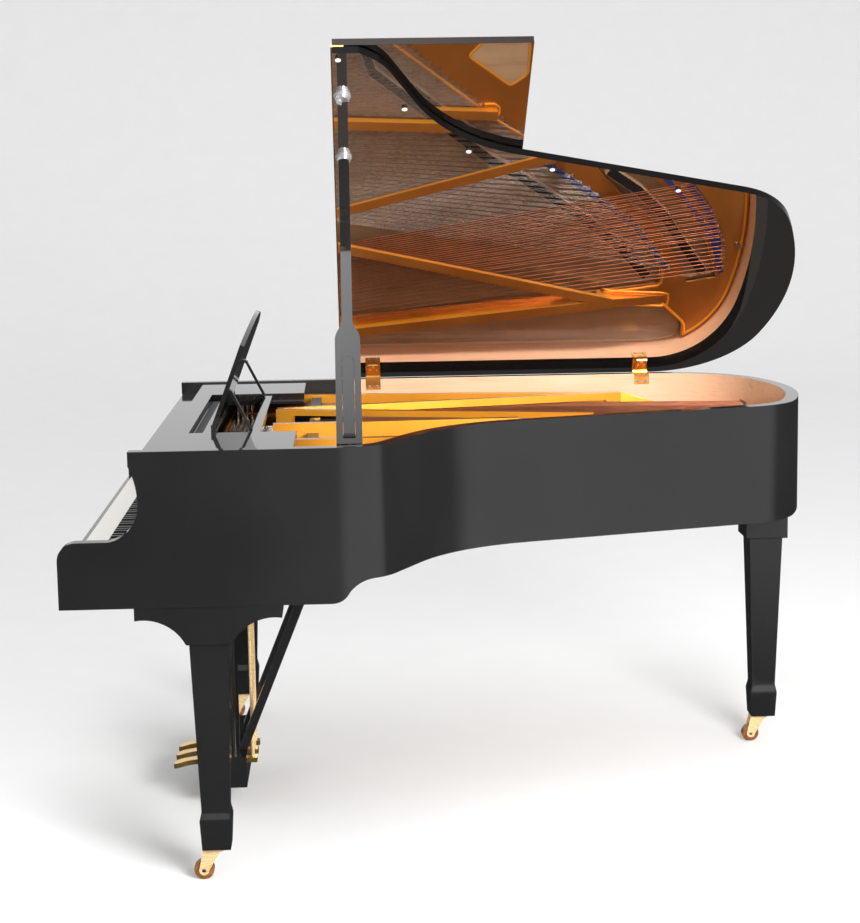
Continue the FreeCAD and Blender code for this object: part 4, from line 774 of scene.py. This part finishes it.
# the outline of the plate's flat top, in order round it
def plateOutline():
    made = bmesh.new()
    made.from_mesh(nodes["iron_plate"].data)
    bmesh.ops.remove_doubles(made, verts=made.verts, dist=weldDistance)
    made.normal_update()
    flat = {face for face in made.faces
            if facesUp(face) and abs(face.calc_center_median().z - plateLevel) < bead["flat"]}
    links = {}
    for edge in made.edges:
        if sum(face in flat for face in edge.link_faces) == 1:
            for vert in edge.verts:
                links.setdefault(vert, []).append(edge.other_vert(vert))
    start = max(links, key=lambda vert: vert.co.x)
    loop, before, here = [start.co.xy.copy()], start, links[start][0]
    while here is not start:
        loop.append(here.co.xy.copy())
        onward = [vert for vert in links[here] if vert is not before]
        before, here = here, onward[0]
    made.free()
    return loop


# points at an even pitch round a closed outline
def evenly(loop, pitch):
    spots, carried = [], 0.0
    for a, b in zip(loop, loop[1:] + loop[:1]):
        run = (b - a).length
        at = pitch - carried if spots else 0.0
        while at <= run:
            spots.append(a.lerp(b, at / run) if run else a)
            at += pitch
        carried = run - (at - pitch)
    return spots


# a half-round bead along a closed outline
def addBead(made, loop, inset):
    area = sum(a.x * b.y - b.x * a.y for a, b in zip(loop, loop[1:] + loop[:1]))
    turn = 1 if area > 0 else -1
    rings = []
    for index, spot in enumerate(loop):
        run = (loop[(index + 1) % len(loop)] - loop[index - 1]).normalized()
        inward = Vector((-run.y, run.x)) * turn
        ring = []
        for step in range(bead["arc"] + 1):
            angle = math.pi * step / bead["arc"]
            foot = spot + inward * (inset + bead["half"] * math.cos(angle))
            ring.append(made.verts.new((foot.x, foot.y, plateLevel + bead["rise"] * math.sin(angle))))
        rings.append(ring)
    for one, other in zip(rings, rings[1:] + rings[:1]):
        for step in range(bead["arc"] + 1):
            after = (step + 1) % (bead["arc"] + 1)
            made.faces.new((one[step], one[after], other[after], other[step])).smooth = True


# the plate's window near the bentside: a field of case wood inside a cast bead
window = {"corners": ((1036, -156), (1158, -67), (1208, -100), (1214, -190), (1180, -225), (1095, -215)),
          "round": 12, "steps": 5, "rise": 0.0005}


# a closed outline with its corners rounded off
def rounded(points, radius, steps):
    spots = []
    for before, corner, after in zip(points[-1:] + points[:-1], points, points[1:] + points[:1]):
        start = corner + (before - corner).normalized() * radius
        end = corner + (after - corner).normalized() * radius
        for step in range(steps + 1):
            t = step / steps
            spots.append(start * (1 - t) ** 2 + corner * 2 * t * (1 - t) + end * t * t)
    return spots


def makePlateBeads():
    made = bmesh.new()
    addBead(made, evenly(plateOutline(), bead["pitch"]), bead["inset"])
    outline = rounded([Vector(spot) for spot in window["corners"]], window["round"], window["steps"])
    spots = [place(*spot, plateFelt["top"]) for spot in outline]
    addBead(made, [spot.xy for spot in spots], 0)
    newPiece("plateBead", made, "bronze", "case")
    field = bmesh.new()
    skin(field, [[field.verts.new(spot + upward * rise) for spot in spots] for rise in (0, window["rise"])])
    newPiece("plateWindow", field, "maple", "case")


makePlateBeads()
print("plate felt, beads and window added")


# stage: a pale floor that sweeps up into the backdrop; polished faces see the studio round it instead

studio = {"floor": (0.92, 0.92, 0.92), "halfWidth": 30.0, "front": -16.0, "sweep": 9.0, "bend": 5.0,
          "bendSteps": 12, "top": 14.0, "rough": 0.7, "cloud": (6.0, 3.0), "drift": 0.985,
          "above": (0.92, 0.92, 0.92), "below": (0.034, 0.034, 0.036), "horizon": 0.06, "strength": 0.95}


def makeStage():
    sweep, bend = studio["sweep"], studio["bend"]
    profile = [(studio["front"], 0)]
    for step in range(studio["bendSteps"] + 1):
        angle = math.pi / 2 * step / studio["bendSteps"]
        profile.append((sweep + bend * math.sin(angle), bend * (1 - math.cos(angle))))
    profile.append((sweep + bend, studio["top"]))
    made = bmesh.new()
    half = studio["halfWidth"]
    rows = [(made.verts.new((-half, y, z)), made.verts.new((half, y, z))) for y, z in profile]
    for (a, b), (c, d) in zip(rows, rows[1:]):
        made.faces.new((a, b, d, c)).smooth = True
    mesh = bpy.data.meshes.new("floor")
    made.to_mesh(mesh)
    made.free()
    floor = bpy.data.objects.new("floor", mesh)
    bpy.context.scene.collection.objects.link(floor)
    material, tree, shader = newMaterial("paleFloor")
    cloud = noise(tree, objectCoords(tree), *studio["cloud"])
    low = tuple(c * studio["drift"] for c in studio["floor"])
    tree.links.new(blend(tree, cloud, low, studio["floor"]), shader.inputs["Base Color"])
    shader.inputs["Roughness"].default_value = studio["rough"]
    mesh.materials.append(material)
    floor.visible_glossy = False


# the studio that polished faces see: bright above the horizon, dark below it; behind the floor it is plain
def makeWorld():
    world = bpy.data.worlds.new("studio")
    world.use_nodes = True
    tree = world.node_tree
    back = next(n for n in tree.nodes if n.type == "BACKGROUND")
    coords = addNode(tree, "ShaderNodeTexCoord")
    parts = addNode(tree, "ShaderNodeSeparateXYZ")
    tree.links.new(coords.outputs["Generated"], parts.inputs[0])
    height = addNode(tree, "ShaderNodeMapRange")
    height.inputs["From Min"].default_value = -studio["horizon"]
    height.inputs["From Max"].default_value = studio["horizon"]
    tree.links.new(parts.outputs["Z"], height.inputs["Value"])
    colour = blend(tree, height.outputs["Result"], studio["below"], studio["above"], (0.0, 1.0))
    tree.links.new(colour, back.inputs["Color"])
    back.inputs["Strength"].default_value = studio["strength"]
    pale = addNode(tree, "ShaderNodeBackground", Color=(*studio["above"], 1), Strength=studio["strength"])
    pick = addNode(tree, "ShaderNodeMixShader")
    tree.links.new(addNode(tree, "ShaderNodeLightPath").outputs["Is Camera Ray"], pick.inputs[0])
    tree.links.new(back.outputs[0], pick.inputs[1])
    tree.links.new(pale.outputs[0], pick.inputs[2])
    out = next(n for n in tree.nodes if n.type == "OUTPUT_WORLD")
    tree.links.new(pick.outputs[0], out.inputs["Surface"])
    bpy.context.scene.world = world
    bpy.context.scene.view_settings.view_transform = "Standard"


softboxes = {
    "overhead": {"at": (300, -700, 3900), "to": (900, -100, 900), "size": (3.2, 2.0),
                 "power": 80, "edge": 0.4},
    "key": {"at": (2300, -3400, 1900), "to": (1000, 150, 950), "size": (2.4, 1.3),
            "power": 560, "edge": 0.4},
    "sideCard": {"at": (4300, -3900, 300), "to": (1200, -300, 850), "size": (12, 4),
                 "power": 118, "edge": 0.3},
}


# how bright a softbox is at a point across it: full in the middle, fading to its edges
def fade(tree, edge):
    half = 0.5  # the box runs from 0 to 1
    parts = addNode(tree, "ShaderNodeSeparateXYZ")
    tree.links.new(addNode(tree, "ShaderNodeNewGeometry").outputs["Parametric"], parts.inputs[0])
    product = addNode(tree, "ShaderNodeMath", operation="MULTIPLY")
    for axis, socket in zip("XY", product.inputs):
        centred = addNode(tree, "ShaderNodeMath", operation="SUBTRACT")
        centred.inputs[1].default_value = half
        tree.links.new(parts.outputs[axis], centred.inputs[0])
        away = addNode(tree, "ShaderNodeMath", operation="ABSOLUTE")
        tree.links.new(centred.outputs[0], away.inputs[0])
        level = addNode(tree, "ShaderNodeMapRange", interpolation_type="SMOOTHSTEP")
        level.inputs["From Min"].default_value = half
        level.inputs["From Max"].default_value = half - edge
        tree.links.new(away.outputs[0], level.inputs["Value"])
        tree.links.new(level.outputs["Result"], socket)
    return product.outputs[0]


def makeLights():
    for name, box in softboxes.items():
        data = bpy.data.lights.new(name, "AREA")
        data.shape = "RECTANGLE"
        data.size, data.size_y = box["size"]
        data.energy = box["power"]
        data.use_nodes = True
        glow = next(n for n in data.node_tree.nodes if n.type == "EMISSION")
        data.node_tree.links.new(fade(data.node_tree, box["edge"]), glow.inputs["Strength"])
        light = bpy.data.objects.new(name, data)
        bpy.context.scene.collection.objects.link(light)
        start, end = place(*box["at"]), place(*box["to"])
        light.location = start
        light.rotation_mode = "QUATERNION"
        light.rotation_quaternion = (end - start).to_track_quat("-Z", "Y")


makeStage()
makeWorld()
makeLights()
print("stage and lights set")
